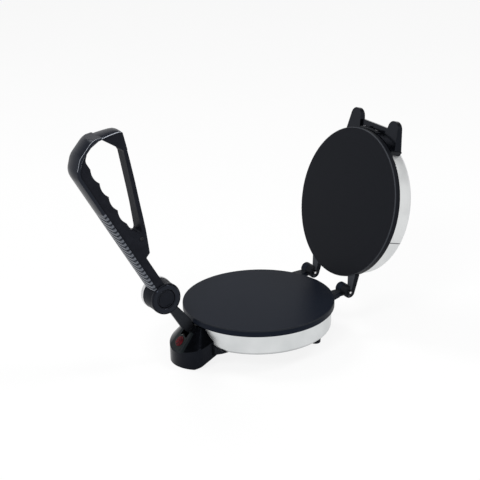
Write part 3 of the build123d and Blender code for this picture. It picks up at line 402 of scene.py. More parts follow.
@dataclass(frozen=True)
class CookingCoat(Finish):
    """Sprayed non-stick coat: fine speckle, a cloudy sheen, faint rings from use, a painted
    highlight on the rim.
    """

    octaves: float = 3.0
    bump: float = 0.5
    clouds: float = 18.0  # per metre
    cloud_share: float = 0.15
    rings: float = 420.0  # per metre
    ring_share: float = 0.25
    # Colour of the painted highlight along the rim's rounded edge, lighter than the coat
    rim: Colour = (0.02, 0.022, 0.026)
    rim_radius: float = 0.1005
    rim_height: float = 0.0012
    rim_fade: float = 0.0004

    def surface(self, tree: Tree, grain: Socket) -> Looks:
        """Speckle the coat, cloud its gloss and paint a highlight along its rim.

        Args:
            tree: The material's nodes.
            grain: The sprayed speckle.

        Returns:
            Colour and roughness.
        """
        across, along, height = tree.axes_of(tree.where)
        radius = tree.radius_of(across, along)
        cloud = tree.noise(self.clouds, self.octaves)
        gloss = tree.weigh(cloud, self.cloud_share, grain)
        shade = tree.weigh(tree.line_noise(radius, self.rings), self.ring_share, grain)
        # Painted highlight: a lighter band on the rim next to the cooking face
        near_face = tree.step(tree.math("ABSOLUTE", height), self.rim_height, self.rim_fade)
        rim_highlight = tree.times(near_face, tree.math("GREATER_THAN", radius, self.rim_radius))
        colour = tree.blend(rim_highlight, self.shade(tree, shade), self.rim)
        return colour, tree.span(gloss, *self.roughness)


@dataclass(frozen=True)
class SpunSteel(Finish):
    """Stainless sheet spun on a lathe: fine lines round the axis, a soft sheen, one lap seam, and
    painted shade where it turns in at the corner.
    """

    bump: float = 0.5
    patches: float = 30.0
    lines: float = 5200.0  # per metre
    bands: float = 340.0  # per metre
    line_share: float = 0.6
    sheen: float = 0.3
    corner: float = 1.0  # height beyond which the sheet turns in to the flat end and is painted darker, as shade
    corner_fade: float = 0.0035
    painted_corner_shade: Colour = (0.34, 0.35, 0.36)
    seam_angle: float | None = None  # degrees from the front
    seam_width: float = 0.0007
    seam_start: float = 0.07  # how far across the seam's side of the wall begins
    seam_shade: Colour = (0.10, 0.10, 0.11)

    def paint(self, tree: Tree) -> None:
        """Draw the spinning lines, paint shade where the sheet turns in, and draw the seam where
        there is one.

        Args:
            tree: The material's nodes.
        """
        across, along, height = tree.axes_of(tree.where)
        track = tree.math("ADD", tree.radius_of(across, along), height)
        lines = tree.line_noise(track, self.lines)
        spun = tree.weigh(lines, self.line_share, tree.line_noise(track, self.bands))
        # Painted shade: the colour darkens where the sheet turns in at the corner
        past = tree.math("SUBTRACT", tree.math("ABSOLUTE", height), self.corner)
        shaded_corner = tree.math("SUBTRACT", 1.0, tree.step(past, 0.0, self.corner_fade))
        mottled = self.shade(tree, tree.noise(self.patches))
        colour = tree.blend(shaded_corner, mottled, self.painted_corner_shade)
        if self.seam_angle is not None:
            colour = self.draw_seam(tree, colour, across, along)
        roughness = tree.span(spun, *self.roughness)
        tree.set(Base_Color=colour, Roughness=roughness, Anisotropic=self.sheen)
        tree.bump(spun, self.bump, self.relief)

    def draw_seam(self, tree: Tree, colour: Socket, across: Socket, along: Socket) -> Socket:
        """Draw a thin dark line down the wall at the seam.

        Args:
            tree: The material's nodes.
            colour: The plain sheet's colour.
            across: Distance across the lid.
            along: Distance along the lid, towards the hinge.

        Returns:
            The colour with the line.
        """
        angle = math.radians(self.seam_angle)
        sideways = tree.times(along, math.sin(angle))
        off = tree.math("MULTIPLY_ADD", across, math.cos(angle), sideways)
        line = tree.step(tree.math("ABSOLUTE", off), self.seam_width / 2, self.seam_width)
        outer = tree.math("GREATER_THAN", across, self.seam_start)
        return tree.blend(tree.times(line, outer), colour, self.seam_shade)


@dataclass(frozen=True)
class Moulding(Finish):
    """Glossy thermoset moulding: near-black, faint flow marks, and gloss that dulls in patches."""

    octaves: float = 2.0
    bump: float = 0.5
    stops: Pair = (0.35, 0.65)
    flow: float = 60.0  # marks per metre
    flow_octaves: float = 3.0
    flow_swirl: float = 1.5
    flow_share: float = 0.5

    def surface(self, tree: Tree, grain: Socket) -> Looks:
        """Cloud the colour and the gloss with flow marks.

        Args:
            tree: The material's nodes.
            grain: The shallow orange peel.

        Returns:
            Colour and roughness.
        """
        flow = tree.noise(self.flow, self.flow_octaves, self.flow_swirl)
        gloss = tree.weigh(flow, self.flow_share, grain)
        return self.shade(tree, flow), tree.span(gloss, *self.roughness)


@dataclass(frozen=True)
class FacetMoulding(Moulding):
    """Housing moulding whose flat front facet is etched matt round the pilot panel."""

    facet: Colour = (0.0055, 0.0078, 0.0080)
    facet_roughness: float = 0.22  # added to the glossy moulding's
    facet_half_width: float = 0.0192
    facet_foot: float = 0.0006
    facet_top: float = 0.031
    facet_depth: float = 0.0022
    side_fade: float = 0.0005
    top_fade: float = 0.0006
    depth_fade: float = 0.0003

    def surface(self, tree: Tree, grain: Socket) -> Looks:
        """Etch the facet, and leave the rest glossy.

        Args:
            tree: The material's nodes.
            grain: The shallow orange peel.

        Returns:
            Colour and roughness.
        """
        across, along, out = tree.axes_of(tree.where)
        inside = tree.step(tree.math("ABSOLUTE", across), self.facet_half_width, self.side_fade)
        below = tree.step(along, self.facet_top, self.top_fade)
        level = tree.step(tree.math("ABSOLUTE", out), self.facet_depth, self.depth_fade)
        above = tree.math("GREATER_THAN", along, self.facet_foot)
        etched = tree.times(tree.times(inside, below), tree.times(level, above))
        colour, gloss = super().surface(tree, grain)
        roughness = tree.math("MULTIPLY_ADD", etched, self.facet_roughness, gloss)
        return tree.blend(etched, colour, self.facet), roughness


@dataclass(frozen=True)
class RibbedMoulding(Moulding):
    """Moulded grip: the ribs' crests are glossier from wear than the grooves, with a painted
    highlight on them.
    """

    bump: float = 0.4
    stops: Pair = (0.06, 0.62)
    rib_first: float = 0.029
    rib_pitch: float = 0.0062
    rib_slant: float = math.radians(20.0)
    rib_end: float = 0.1505
    rib_fade: float = 0.004
    faintest_crest: float = 0.7
    edge_start: float = 0.220  # how far up the grip the painted highlight on the side edges starts
    edge_turns: Pair = (0.5, 0.82)  # how far sideways an edge that takes the painted highlight faces
    edge_fade: float = 0.12
    # Colour of the painted highlight along the side edges
    edge: Colour = (0.46, 0.49, 0.54)

    def surface(self, tree: Tree, grain: Socket) -> Looks:
        """Paint a highlight on the crests between the grooves, which wear glossier, and on the side
        edges over the loop's top.

        Args:
            tree: The material's nodes.
            grain: The shallow orange peel.

        Returns:
            Colour and roughness.
        """
        across, along, _ = tree.axes_of(tree.where)
        from_first = tree.math("SUBTRACT", along, self.rib_first)
        upright = tree.times(from_first, math.cos(self.rib_slant))
        track = tree.math("MULTIPLY_ADD", across, math.sin(self.rib_slant), upright)
        turn = 2 * math.pi / (self.rib_pitch * math.cos(self.rib_slant))
        wave = tree.math("COSINE", tree.times(track, turn))
        crest = tree.math("MULTIPLY_ADD", wave, -0.5, 0.5)
        ribbed = tree.step(along, self.rib_end, self.rib_fade)
        # Painted highlights on the crests and along the rounded side edges; the crests' lower
        # roughness is wear
        wear_and_highlight = tree.times(tree.times(crest, ribbed), tree.span(grain, self.faintest_crest, 1.0))
        colour = tree.blend(self.polished(tree, along), self.shade(tree, wear_and_highlight), self.edge)
        dull, glossy = self.roughness[1], self.roughness[0]
        return colour, tree.span(wear_and_highlight, dull, glossy)

    def polished(self, tree: Tree, along: Socket) -> Socket:
        """Find the rounded side edges over the loop's top, which take a painted highlight.

        Args:
            tree: The material's nodes.
            along: How far up the grip the point is.

        Returns:
            1 on the edges and 0 elsewhere.
        """
        facing, _, _ = tree.axes_of(tree.node("NewGeometry").outputs["Normal"])
        sideways = tree.math("ABSOLUTE", facing)
        least, most = self.edge_turns
        rounded = tree.step(sideways, most, self.edge_fade)
        rounding = tree.times(rounded, tree.math("GREATER_THAN", sideways, least))
        return tree.times(rounding, tree.math("GREATER_THAN", along, self.edge_start))


@dataclass(frozen=True)
class PeenedPin(Finish):
    """Blackened pin whose peened end wears through to bright steel."""

    octaves: float = 3.0
    bump: float = 0.5
    stops: Pair = (0.0, 1.0)
    bright_radius: float = 0.0016
    bright_fade: float = 0.0005
    ragged: float = 0.0008  # how far the grain draws the bright middle in

    def surface(self, tree: Tree, grain: Socket) -> Looks:
        """Brighten the middle of the pin's ends.

        Args:
            tree: The material's nodes.
            grain: The fine scratches.

        Returns:
            Colour and roughness.
        """
        _, along, height = tree.axes_of(tree.where)
        off_y = tree.math("SUBTRACT", along, HINGE.y)
        off_z = tree.math("SUBTRACT", height, HINGE.z)
        rim = tree.math("MULTIPLY_ADD", grain, self.ragged, tree.radius_of(off_y, off_z))
        wear_and_highlight = tree.step(rim, self.bright_radius, self.bright_fade)
        return self.shade(tree, wear_and_highlight), tree.span(grain, *self.roughness)


@dataclass(frozen=True)
class PilotRed(Finish):
    """Tinted clear plastic over a dark chamber."""

    octaves: float = 2.0
    bump: float = 0.3
    stops: Pair = (0.38, 0.62)
    chamber: float = 420.0  # features per metre
    chamber_octaves: float = 1.0
    chamber_swirl: float = 0.8

    def surface(self, tree: Tree, grain: Socket) -> Looks:
        """Return a colour darkened in patches, as the chamber shows through, and the roughness."""
        chamber = tree.noise(self.chamber, self.chamber_octaves, self.chamber_swirl)
        return self.shade(tree, chamber), tree.span(grain, *self.roughness)


COOL = (0.80, 0.88, 1.0)
BLUISH = (0.66, 0.75, 1.0)
BAKELITE = Moulding(
    "bakelite",
    (0.0016, 0.0019, 0.0026),
    (0.0030, 0.0035, 0.0050),
    (0.12, 0.22),
    specular=0.17,
    tint=BLUISH,
    grain=700.0,
)
RING_BAKELITE = replace(BAKELITE, name="ring_bakelite", roughness=(0.08, 0.15), specular=0.26)
HOUSING_BAKELITE = FacetMoulding(
    "housing_bakelite",
    (0.0012, 0.0014, 0.0018),
    (0.0022, 0.0026, 0.0036),
    (0.10, 0.20),
    specular=0.14,
    tint=BLUISH,
    grain=700.0,
    axes=Axes.SLOPE,
)
HANDLE_BAKELITE = Moulding(
    "handle_bakelite",
    (0.0105, 0.0114, 0.0150),
    (0.0138, 0.0149, 0.0196),
    (0.26, 0.4),
    specular=0.02,
    tint=COOL,
)
RIB_BAKELITE = RibbedMoulding(
    "rib_bakelite",
    (0.0085, 0.0100, 0.0155),
    # Colour of the crests' painted highlight
    (0.120, 0.130, 0.150),
    (0.16, 0.30),
    specular=0.16,
    tint=COOL,
    axes=Axes.GRIP,
)
LOWER_COAT = CookingCoat(
    "lower_coat",
    (0.0070, 0.0091, 0.0148),
    (0.0098, 0.0126, 0.0198),
    (0.30, 0.42),
    specular=0.04,
    tint=BLUISH,
    grain=1500.0,
    axes=Axes.BASE,
)
UPPER_COAT = CookingCoat(
    "upper_coat",
    (0.005, 0.0055, 0.007),
    (0.0085, 0.0093, 0.012),
    (0.32, 0.46),
    specular=0.06,
    tint=BLUISH,
    grain=1500.0,
    axes=Axes.LID,
    # Lighter colour of the rim's painted highlight
    rim=(0.042, 0.045, 0.052),
)
PAN_STEEL = SpunSteel(
    "pan_steel",
    (0.62, 0.64, 0.645),
    (0.70, 0.715, 0.72),
    (0.26, 0.4),
    metallic=1.0,
    axes=Axes.BASE,
    corner=0.0325,
)
COVER_STEEL = SpunSteel(
    "cover_steel",
    (0.66, 0.675, 0.68),
    (0.75, 0.76, 0.76),
    (0.26, 0.4),
    metallic=1.0,
    axes=Axes.LID,
    corner=0.0305,
    seam_angle=108.0,
)
BLACK_STEEL = Finish(
    "black_steel",
    (0.006, 0.0066, 0.008),
    (0.010, 0.011, 0.0135),
    (0.28, 0.42),
    specular=0.25,
    tint=COOL,
)
BLACK_SCREW = Finish(
    "black_screw",
    (0.02, 0.02, 0.022),
    (0.05, 0.05, 0.055),
    (0.22, 0.36),
    metallic=0.7,
    grain=2400.0,
)
BRIGHT_STEEL = Finish(
    "bright_steel", (0.55, 0.55, 0.56), (0.72, 0.72, 0.73), (0.16, 0.3), metallic=1.0
)
PIN_STEEL = PeenedPin(
    "pin_steel", (0.012, 0.012, 0.014), (0.72, 0.72, 0.73), (0.2, 0.34), metallic=0.9
)
PANEL = Finish(
    "panel",
    (0.0050, 0.0072, 0.0074),
    (0.0070, 0.0098, 0.0100),
    (0.34, 0.44),
    specular=0.12,
    grain=1600.0,
)
LENS = PilotRed(
    "lens",
    (0.016, 0.0010, 0.0022),
    (0.085, 0.005, 0.009),
    (0.18, 0.28),
    specular=0.07,
    grain=1200.0,
)
LAMP_GLASS = Finish("lamp_glass", (0.6, 0.25, 0.1), (0.75, 0.35, 0.16), (0.1, 0.2))
MICA = Finish("mica", (0.30, 0.24, 0.14), (0.46, 0.38, 0.24), (0.3, 0.5), grain=300.0)
FIBRE = Finish(
    "fibre",
    (0.62, 0.59, 0.52),
    (0.78, 0.75, 0.68),
    (0.85, 0.95),
    grain=1800.0,
    relief=0.0004,
)
CERAMIC = Finish("ceramic", (0.62, 0.60, 0.54), (0.72, 0.70, 0.64), (0.35, 0.5))
RUBBER = Finish(
    "rubber",
    (0.010, 0.010, 0.010),
    (0.018, 0.018, 0.018),
    (0.6, 0.75),
    specular=0.3,
    grain=1600.0,
)
BRASS = Finish("brass", (0.45, 0.32, 0.12), (0.58, 0.42, 0.18), (0.25, 0.4), metallic=1.0)


# ---------------------------------------------------------------- mesh helpers
FLAT_ANGLE = math.radians(0.6)  # faces that meet at less than this lie flat
SMOOTH_ANGLE = math.radians(38)
FACE_WEIGHT = 90
COPY_WELD = 0.000002
SEAM_WELD = 0.000005


class Form(Enum):
    """What a piece is drawn out from: how its first circle is filled, and its points."""

    SMALL_SOLID = ("NGON", 48)
    SOLID = ("NGON", 72)
    RING = ("NOTHING", 96)


@dataclass(frozen=True)
class Rounding:
    """How the edges of a piece are rounded."""

    width: float  # radius in metres
    segments: int = 3  # faces across a rounded edge
    angle: float = 32.0  # edges sharper than this many degrees are rounded


def select_only(obj: Piece) -> None:
    """Make a piece the one selected and active object.

    Args:
        obj: The piece.
    """
    bpy.ops.object.select_all(action="DESELECT")
    obj.select_set(True)
    bpy.context.view_layer.objects.active = obj


@contextmanager
def editing(obj: Piece) -> Iterator[None]:
    """Open a piece in edit mode with all of it selected, and close it afterwards.

    Args:
        obj: The piece.

    Returns:
        The context that it is open in.
    """
    select_only(obj)
    bpy.ops.object.mode_set(mode="EDIT")
    bpy.ops.mesh.select_all(action="SELECT")
    yield
    bpy.ops.object.mode_set(mode="OBJECT")


def dress(finish: Finish, *nodes: str) -> None:
    """Give CAD nodes a finish.

    Args:
        finish: The finish.
        *nodes: Names of the nodes.
    """
    for node in nodes:
        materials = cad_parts[node].data.materials
        materials.clear()
        materials.append(finish.build())
        log.info("%s: %s", node, finish.name)


def place(obj: Piece, body: Body, finish: Finish, slot: Slot, *nodes: str) -> None:
    """Finish a new piece: its material, its body and the nodes that it stands for.

    Args:
        obj: The piece, its mesh in the shared frame.
        body: Body that it moves with.
        finish: Its finish.
        slot: The record's material slot; not used.
        *nodes: CAD nodes that it replaces.
    """
    obj.data.materials.clear()
    obj.data.materials.append(finish.build())
    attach(obj, body.value)
    if nodes:
        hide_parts(*nodes)
    log.info("%s: %d faces on %s", obj.name, len(obj.data.polygons), body.value)


def round_edges(obj: Piece, rounding: Rounding) -> Piece:
    """Round the edges of a piece and shade it smooth between them.

    Args:
        obj: The piece.
        rounding: How its edges are rounded.

    Returns:
        The same object.
    """
    select_only(obj)
    modifier = obj.modifiers.new("rounding", "BEVEL")
    modifier.width = rounding.width
    modifier.segments = rounding.segments
    modifier.limit_method = "ANGLE"
    modifier.angle_limit = math.radians(rounding.angle)
    modifier.use_clamp_overlap = True
    modifier.miter_outer = "MITER_ARC"
    bpy.ops.object.modifier_apply(modifier=modifier.name)
    bpy.ops.object.shade_smooth_by_angle(angle=SMOOTH_ANGLE)
    weighting = obj.modifiers.new("weighting", "WEIGHTED_NORMAL")
    weighting.mode = "FACE_AREA"
    weighting.weight = FACE_WEIGHT
    weighting.keep_sharp = True
    bpy.ops.object.modifier_apply(modifier=weighting.name)
    return obj


def clean_copy(node: str, name: str) -> Piece:
    """Copy a node's shape, merge its loose triangles and join those that lie flat.

    Args:
        node: CAD node to copy.
        name: Name of the new piece.

    Returns:
        The new object, its edges sharp.
    """
    obj = bpy.data.objects.new(name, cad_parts[node].data.copy())
    bpy.context.scene.collection.objects.link(obj)
    with editing(obj):
        bpy.ops.mesh.remove_doubles(threshold=COPY_WELD)
        bpy.ops.mesh.dissolve_limited(angle_limit=FLAT_ANGLE)
    return obj


def recast(
    node: str, name: str, rounding: Rounding, body: Body, finish: Finish, slot: Slot
) -> None:
    """Stand a copy of a CAD node in its place, with clean faces and rounded edges."""
    place(round_edges(clean_copy(node, name), rounding), body, finish, slot, node)


def shave(obj: Piece, placing: Matrix, point: Vector, outward: Vector) -> None:
    """Cut off what lies beyond a plane, and close the cut.

    Args:
        obj: The piece, its mesh in the shared frame.
        placing: The axes that the plane is given in.
        point: A point on the plane.
        outward: Its normal, towards the side that is cut off.
    """
    with editing(obj):
        bpy.ops.mesh.bisect(
            plane_co=placing @ point,
            plane_no=placing.to_3x3() @ outward.normalized(),
            use_fill=True,
            clear_outer=True,
        )


def draw_circle(name: str, form: Form, radius: float, centre: Triple) -> Piece:
    """Draw the circle that a piece is drawn out from.

    Args:
        name: Name of the piece.
        form: Its form, which says how the circle is filled and how many points it has.
        radius: The circle's radius.
        centre: Its centre.

    Returns:
        The new object.
    """
    fill, points = form.value
    bpy.ops.object.select_all(action="DESELECT")
    bpy.ops.mesh.primitive_circle_add(
        vertices=points, radius=radius, fill_type=fill, location=centre
    )
    obj = bpy.context.object
    obj.name = name
    bpy.ops.object.transform_apply(location=True, rotation=True, scale=True)
    return obj


def draw_out(extrude: Callable[..., object], move: Triple, scale: Triple, centre: Triple) -> None:
    """Extrude the selected ring, then resize the new ring about its centre.

    Args:
        extrude: Blender's operator for it.
        move: How far the ring is drawn out.
        scale: The new ring's size against the last one's.
        centre: The new ring's centre.
    """
    extrude(TRANSFORM_OT_translate={"value": move})
    bpy.ops.transform.resize(value=scale, center_override=centre)


def face_outwards() -> None:
    """Select all of the open piece and turn its faces outwards."""
    bpy.ops.mesh.select_all(action="SELECT")
    bpy.ops.mesh.normals_make_consistent(inside=False)


def turned(
    name: str, form: Form, profile: Sequence[Pair], placing: Matrix, rounding: Rounding
) -> Piece:
    """Turn a piece: a circle is drawn out and resized corner by corner.

    Args:
        name: Name of the piece.
        form: Its form. The profile of a ring is closed.
        profile: Radius and height of each corner, from the bottom to the top of a solid piece.
        placing: Its axes: the piece is turned about their Z.
        rounding: How its edges are rounded.

    Returns:
        The new object, its place in its mesh.
    """
    corners = [*profile, profile[0]] if form is Form.RING else profile
    radius, height = corners[0]
    obj = draw_circle(name, form, radius, (0.0, 0.0, height))
    extrude = bpy.ops.mesh.extrude_region_move
    with editing(obj):
        if form is Form.RING:
            extrude = bpy.ops.mesh.extrude_edges_move
            bpy.ops.mesh.select_mode(type="EDGE")
        for (radius, height), (next_radius, next_height) in zip(corners, corners[1:]):
            scale = next_radius / radius
            move = (0.0, 0.0, next_height - height)
            draw_out(extrude, move, (scale, scale, 1.0), (0.0, 0.0, next_height))
        bpy.ops.mesh.select_mode(type="VERT")
        bpy.ops.mesh.select_all(action="SELECT")
        bpy.ops.mesh.remove_doubles(threshold=SEAM_WELD)
        face_outwards()
    return round_edges(settle(obj, placing), rounding)


def settle(obj: Piece, placing: Matrix) -> Piece:
    """Move a piece to its place and put that place into its mesh.

    Args:
        obj: The piece.
        placing: Its place in the shared frame.

    Returns:
        The same object.
    """
    select_only(obj)
    obj.matrix_world = placing
    bpy.ops.object.transform_apply(location=True, rotation=True, scale=True)
    return obj


def facing_right(centre: Vector) -> Matrix:
    """Return axes at centre whose Z points towards +X."""
    return Matrix.Translation(centre) @ Matrix.Rotation(math.radians(90), 4, "Y")


# ---------------------------------------------------------------- sub-assemblies
@dataclass
class LowerUnit:
    """Lower cooking plate, its pan, feet and what the pan holds."""

    plate_edge: Rounding = Rounding(0.0006)
    foot_edge: Rounding = Rounding(0.0007)

    def build(self) -> None:
        """Dress the base's plate and pan and round the feet."""
        edge, body = self.plate_edge, Body.BASE
        recast("lower_plate", "griddle_plate", edge, body, LOWER_COAT, Slot.CASTING)
        dress(PAN_STEEL, "lower_pan")
        for foot in ("foot_left", "foot_right"):
            recast(f"rear_{foot}", foot, self.foot_edge, body, BAKELITE, Slot.BAKELITE)
        dress(BRIGHT_STEEL, "lower_stud_nuts", "pan_screws", "foot_screws", "foot_nuts")
        dress(BRIGHT_STEEL, "strap_screws", "thermostat_bracket", "lower_pressure_plate")
        dress(MICA, "lower_element")
        dress(FIBRE, "lower_insulation")
        dress(CERAMIC, "thermostat", "thermal_fuse")
        dress(PIN_STEEL, "hinge_pin_left", "hinge_pin_right")


@dataclass
class FrontHousing:
    """Moulded housing with its floor, pilot light, cord inlet and wiring."""

    edge: Rounding = Rounding(0.0006)
    panel_edge: Rounding = Rounding(0.00012, segments=2)
    lens_edge: Rounding = Rounding(0.00008, segments=2, angle=20.0)
    lens_centre: float = 0.0134  # how far up the slope
    # Radius and height of each ring: flange, neck and head, then the steps on its face.
    lens_outline: tuple[Pair, ...] = (
        *((0.0072, -0.0045), (0.0072, -0.0035), (0.0060, -0.00349), (0.0060, -0.00095)),
        *((0.0070, -0.00094), (0.0070, -0.0003), (0.0062, 0.0002), (0.0046, 0.0005)),
        *((0.0044, 0.0003), (0.0034, 0.0007), (0.0032, 0.0005), (0.0021, 0.0008)),
        *((0.0019, 0.0006), (0.0008, 0.0008)),
    )

    def build(self) -> None:
        """Round the housing, model the lens and dress the fittings."""
        edge, body = self.edge, Body.BASE
        recast("front_housing", "housing_moulding", edge, body, HOUSING_BAKELITE, Slot.BAKELITE)
        recast("indicator_panel", "panel_plate", self.panel_edge, body, PANEL, Slot.PANEL)
        place(self.lens(), body, LENS, Slot.LENS, "indicator_lens")
        dress(BAKELITE, "housing_floor")
        dress(LAMP_GLASS, "neon_lamp")
        dress(CERAMIC, "terminal_block")
        dress(RUBBER, "cord_gland", "mains_wires")
        dress(BRIGHT_STEEL, "floor_screws", "housing_screws", "housing_nuts")
        dress(BLACK_SCREW, "bracket_rivets", "link_pin")
        dress(BLACK_STEEL, "link_bracket")

    def lens(self) -> Piece:
        """Return the pilot lens, whose rings step up to a flat middle."""
        axes = slope_transform() @ Matrix.Translation((0.0, self.lens_centre, 0.0))
        return turned("pilot_lens", Form.SMALL_SOLID, self.lens_outline, axes, self.lens_edge)


@dataclass
class Lid:
    """Upper cooking plate, its cover and the moulded bracket with two ears."""

    plate_edge: Rounding = Rounding(0.0006)
    bracket_edge: Rounding = Rounding(0.0016, segments=4)

    def build(self) -> None:
        """Dress the lid and round its plate and bracket."""
        edge, body = self.plate_edge, Body.LID
        recast("upper_plate", "press_plate", edge, body, UPPER_COAT, Slot.CASTING)
        dress(COVER_STEEL, "upper_cover")
        dress(MICA, "upper_element")
        dress(FIBRE, "upper_insulation")
        dress(BRIGHT_STEEL, "upper_pressure_plate", "upper_stud_nuts", "cover_screws")
        dress(BLACK_SCREW, "bracket_screws")
        dress(BLACK_STEEL, "bracket_clamp")
        recast("lid_bracket", "lid_ears", self.bracket_edge, body, BAKELITE, Slot.BAKELITE)


@dataclass
class PressHandle:
    """Link arm, knuckle and the loop handle with its ribbed grip."""

    loop_edge: Rounding = Rounding(0.0013)
    grip_edge: Rounding = Rounding(0.0007, segments=2)
    crest_edge: Rounding = Rounding(0.0004, segments=2, angle=50.0)
    arm_edge: Rounding = Rounding(0.0006)
    nut_edge: Rounding = Rounding(0.0003, segments=2)
    ring_edge: Rounding = Rounding(0.0003, angle=25.0)
    cap_edge: Rounding = Rounding(0.0003, angle=20.0)
    end_plate_edge: Rounding = Rounding(0.0002, segments=2, angle=25.0)
    # How far back and how far up from the knuckle's centre, along the grip's axes.
    top_line: tuple[Pair, ...] = ((0.0400, 0.2357), (0.0630, 0.2271), (0.0710, 0.2200))
    strip_fall: tuple[Pair, ...] = ((0.0380, 0.2380), (0.0450, 0.2353))
    # How far back, and half the width there.
    top_taper: tuple[Pair, Pair] = ((0.0440, 0.0115), (0.0710, 0.0096))
    # How far back and up each ring's centre is, half its width and half its depth.
    crest_rings: tuple[tuple[float, float, float, float], ...] = (
        (0.0260, 0.23420, 0.0136, 0.0022),
        (0.0330, 0.23595, 0.0139, 0.0022),
        (0.0370, 0.23570, 0.0139, 0.0022),
        (0.0420, 0.23420, 0.0136, 0.0022),
        (0.0480, 0.23225, 0.0131, 0.0022),
        (0.0560, 0.22930, 0.0122, 0.0022),
        (0.0630, 0.22650, 0.0112, 0.0022),
        (0.0675, 0.22410, 0.0103, 0.0021),
        (0.0700, 0.22160, 0.0096, 0.0018),
        (0.0710, 0.21940, 0.0088, 0.0010),
    )
    # Radius from the pivot's axis and distance from the knuckle's middle of each corner.
    ring_section: tuple[Pair, ...] = (
        *((0.0125, 0.0128), (0.0205, 0.0108), (0.0208, 0.0112), (0.0208, 0.0122)),
        *((0.0187, 0.0148), (0.0136, 0.0148), (0.0127, 0.0139)),
    )
    cap_outline: tuple[Pair, ...] = (
        *((0.0124, 0.0111), (0.0124, 0.0124), (0.0117, 0.0131)),
        *((0.0101, 0.0131), (0.0094, 0.0125), (0.0030, 0.0122)),
    )
    # The end plate has a lip over the knuckle, and a rim and a step on its far face.
    end_plate_section: tuple[Pair, ...] = (
        *((0.0031, -0.0145), (0.0206, -0.0145), (0.0206, -0.0099), (0.0212, -0.0099)),
        *((0.0214, -0.0102), (0.0214, -0.0152), (0.0209, -0.0157), (0.0192, -0.0157)),
        *((0.0184, -0.0152), (0.0082, -0.0152), (0.0072, -0.0157), (0.0031, -0.0157)),
    )

    def build(self) -> None:
        """Round the link and the handle and model the pivot's fittings."""
        edge, body, slot = self.arm_edge, Body.HANDLE, Slot.BAKELITE
        recast("link_arm", "link_bar", edge, Body.LINK, BLACK_STEEL, Slot.BLACK_STEEL)
        place(self.loop(), body, HANDLE_BAKELITE, slot, "handle_frame")
        place(self.grip(), body, RIB_BAKELITE, slot, "handle_grip")
        place(self.crest(), body, RIB_BAKELITE, slot)
        place(self.face_ring(), body, RING_BAKELITE, slot)
        place(self.cap(), body, BAKELITE, slot, "pivot_cap")
        place(self.end_plate(), body, BRIGHT_STEEL, Slot.BRIGHT_STEEL, "pivot_end_plate")
        recast("pivot_nut", "dome_nut", self.nut_edge, body, BRIGHT_STEEL, Slot.BRIGHT_STEEL)
        dress(BLACK_SCREW, "handle_screws")
        dress(BRIGHT_STEEL, "pivot_bolt")
        dress(BRASS, "friction_washers")

    @staticmethod
    def shave_above(obj: Piece, line: Sequence[Pair]) -> None:
        """Shave off what stands above a line that runs towards the back.

        Args:
            obj: The piece.
            line: How far back and how far up each of its points is.
        """
        for (back, up), (next_back, next_up) in zip(line, line[1:]):
            outward = Vector((0.0, next_back - back, next_up - up))
            shave(obj, grip_transform(), Vector((0.0, up, -back)), outward)

    def loop(self) -> Piece:
        """Copy the loop and shave its top, which drops and narrows towards the back corner.

        Returns:
            The loop, its edges rounded.
        """
        loop = clean_copy("handle_frame", "handle_loop")
        self.shave_above(loop, self.top_line)
        (start, wide), (end, narrow) = self.top_taper
        for side in (-1.0, 1.0):
            outward = Vector((side * (end - start), 0.0, narrow - wide))
            shave(loop, grip_transform(), Vector((side * wide, 0.0, -start)), outward)
        return round_edges(loop, self.loop_edge)

    def grip(self) -> Piece:
        """Copy the ribbed strip and shave its end down to the crest.

        Returns:
            The strip, its edges rounded.
        """
        grip = clean_copy("handle_grip", "ribbed_grip")
        self.shave_above(grip, self.strip_fall)
        return round_edges(grip, self.grip_edge)

    def crest(self) -> Piece:
        """Model the strip's smooth end, which runs over the loop's top to the back corner.

        Returns:
            The crest, its edges rounded.
        """
        back, up, width, depth = self.crest_rings[0]
        centre = (0.0, up, -back)
        crest = draw_circle("grip_crest", Form.SMALL_SOLID, width, centre)
        with editing(crest):
            bpy.ops.transform.resize(value=(1.0, depth / width, 1.0), center_override=centre)
            for next_back, next_up, next_width, next_depth in self.crest_rings[1:]:
                move = (0.0, next_up - up, back - next_back)
                scale = (next_width / width, next_depth / depth, 1.0)
                centre = (0.0, next_up, -next_back)
                draw_out(bpy.ops.mesh.extrude_region_move, move, scale, centre)
                back, up, width, depth = next_back, next_up, next_width, next_depth
            face_outwards()
        return round_edges(settle(crest, grip_transform()), self.crest_edge)

    def face_ring(self) -> Piece:
        """Return the raised ring on the knuckle's near face, round the cap's recess."""
        axes = facing_right(KNUCKLE)
        return turned("knuckle_ring", Form.RING, self.ring_section, axes, self.ring_edge)

    def cap(self) -> Piece:
        """Return the dished cap over the pivot bolt."""
        axes = facing_right(KNUCKLE)
        return turned("knuckle_cap", Form.SOLID, self.cap_outline, axes, self.cap_edge)

    def end_plate(self) -> Piece:
        """Return the end plate, buffed bright, with its lip, its rolled rim and the step at the
        nut.
        """
        axes, edge = facing_right(KNUCKLE), self.end_plate_edge
        return turned("knuckle_end_plate", Form.RING, self.end_plate_section, axes, edge)


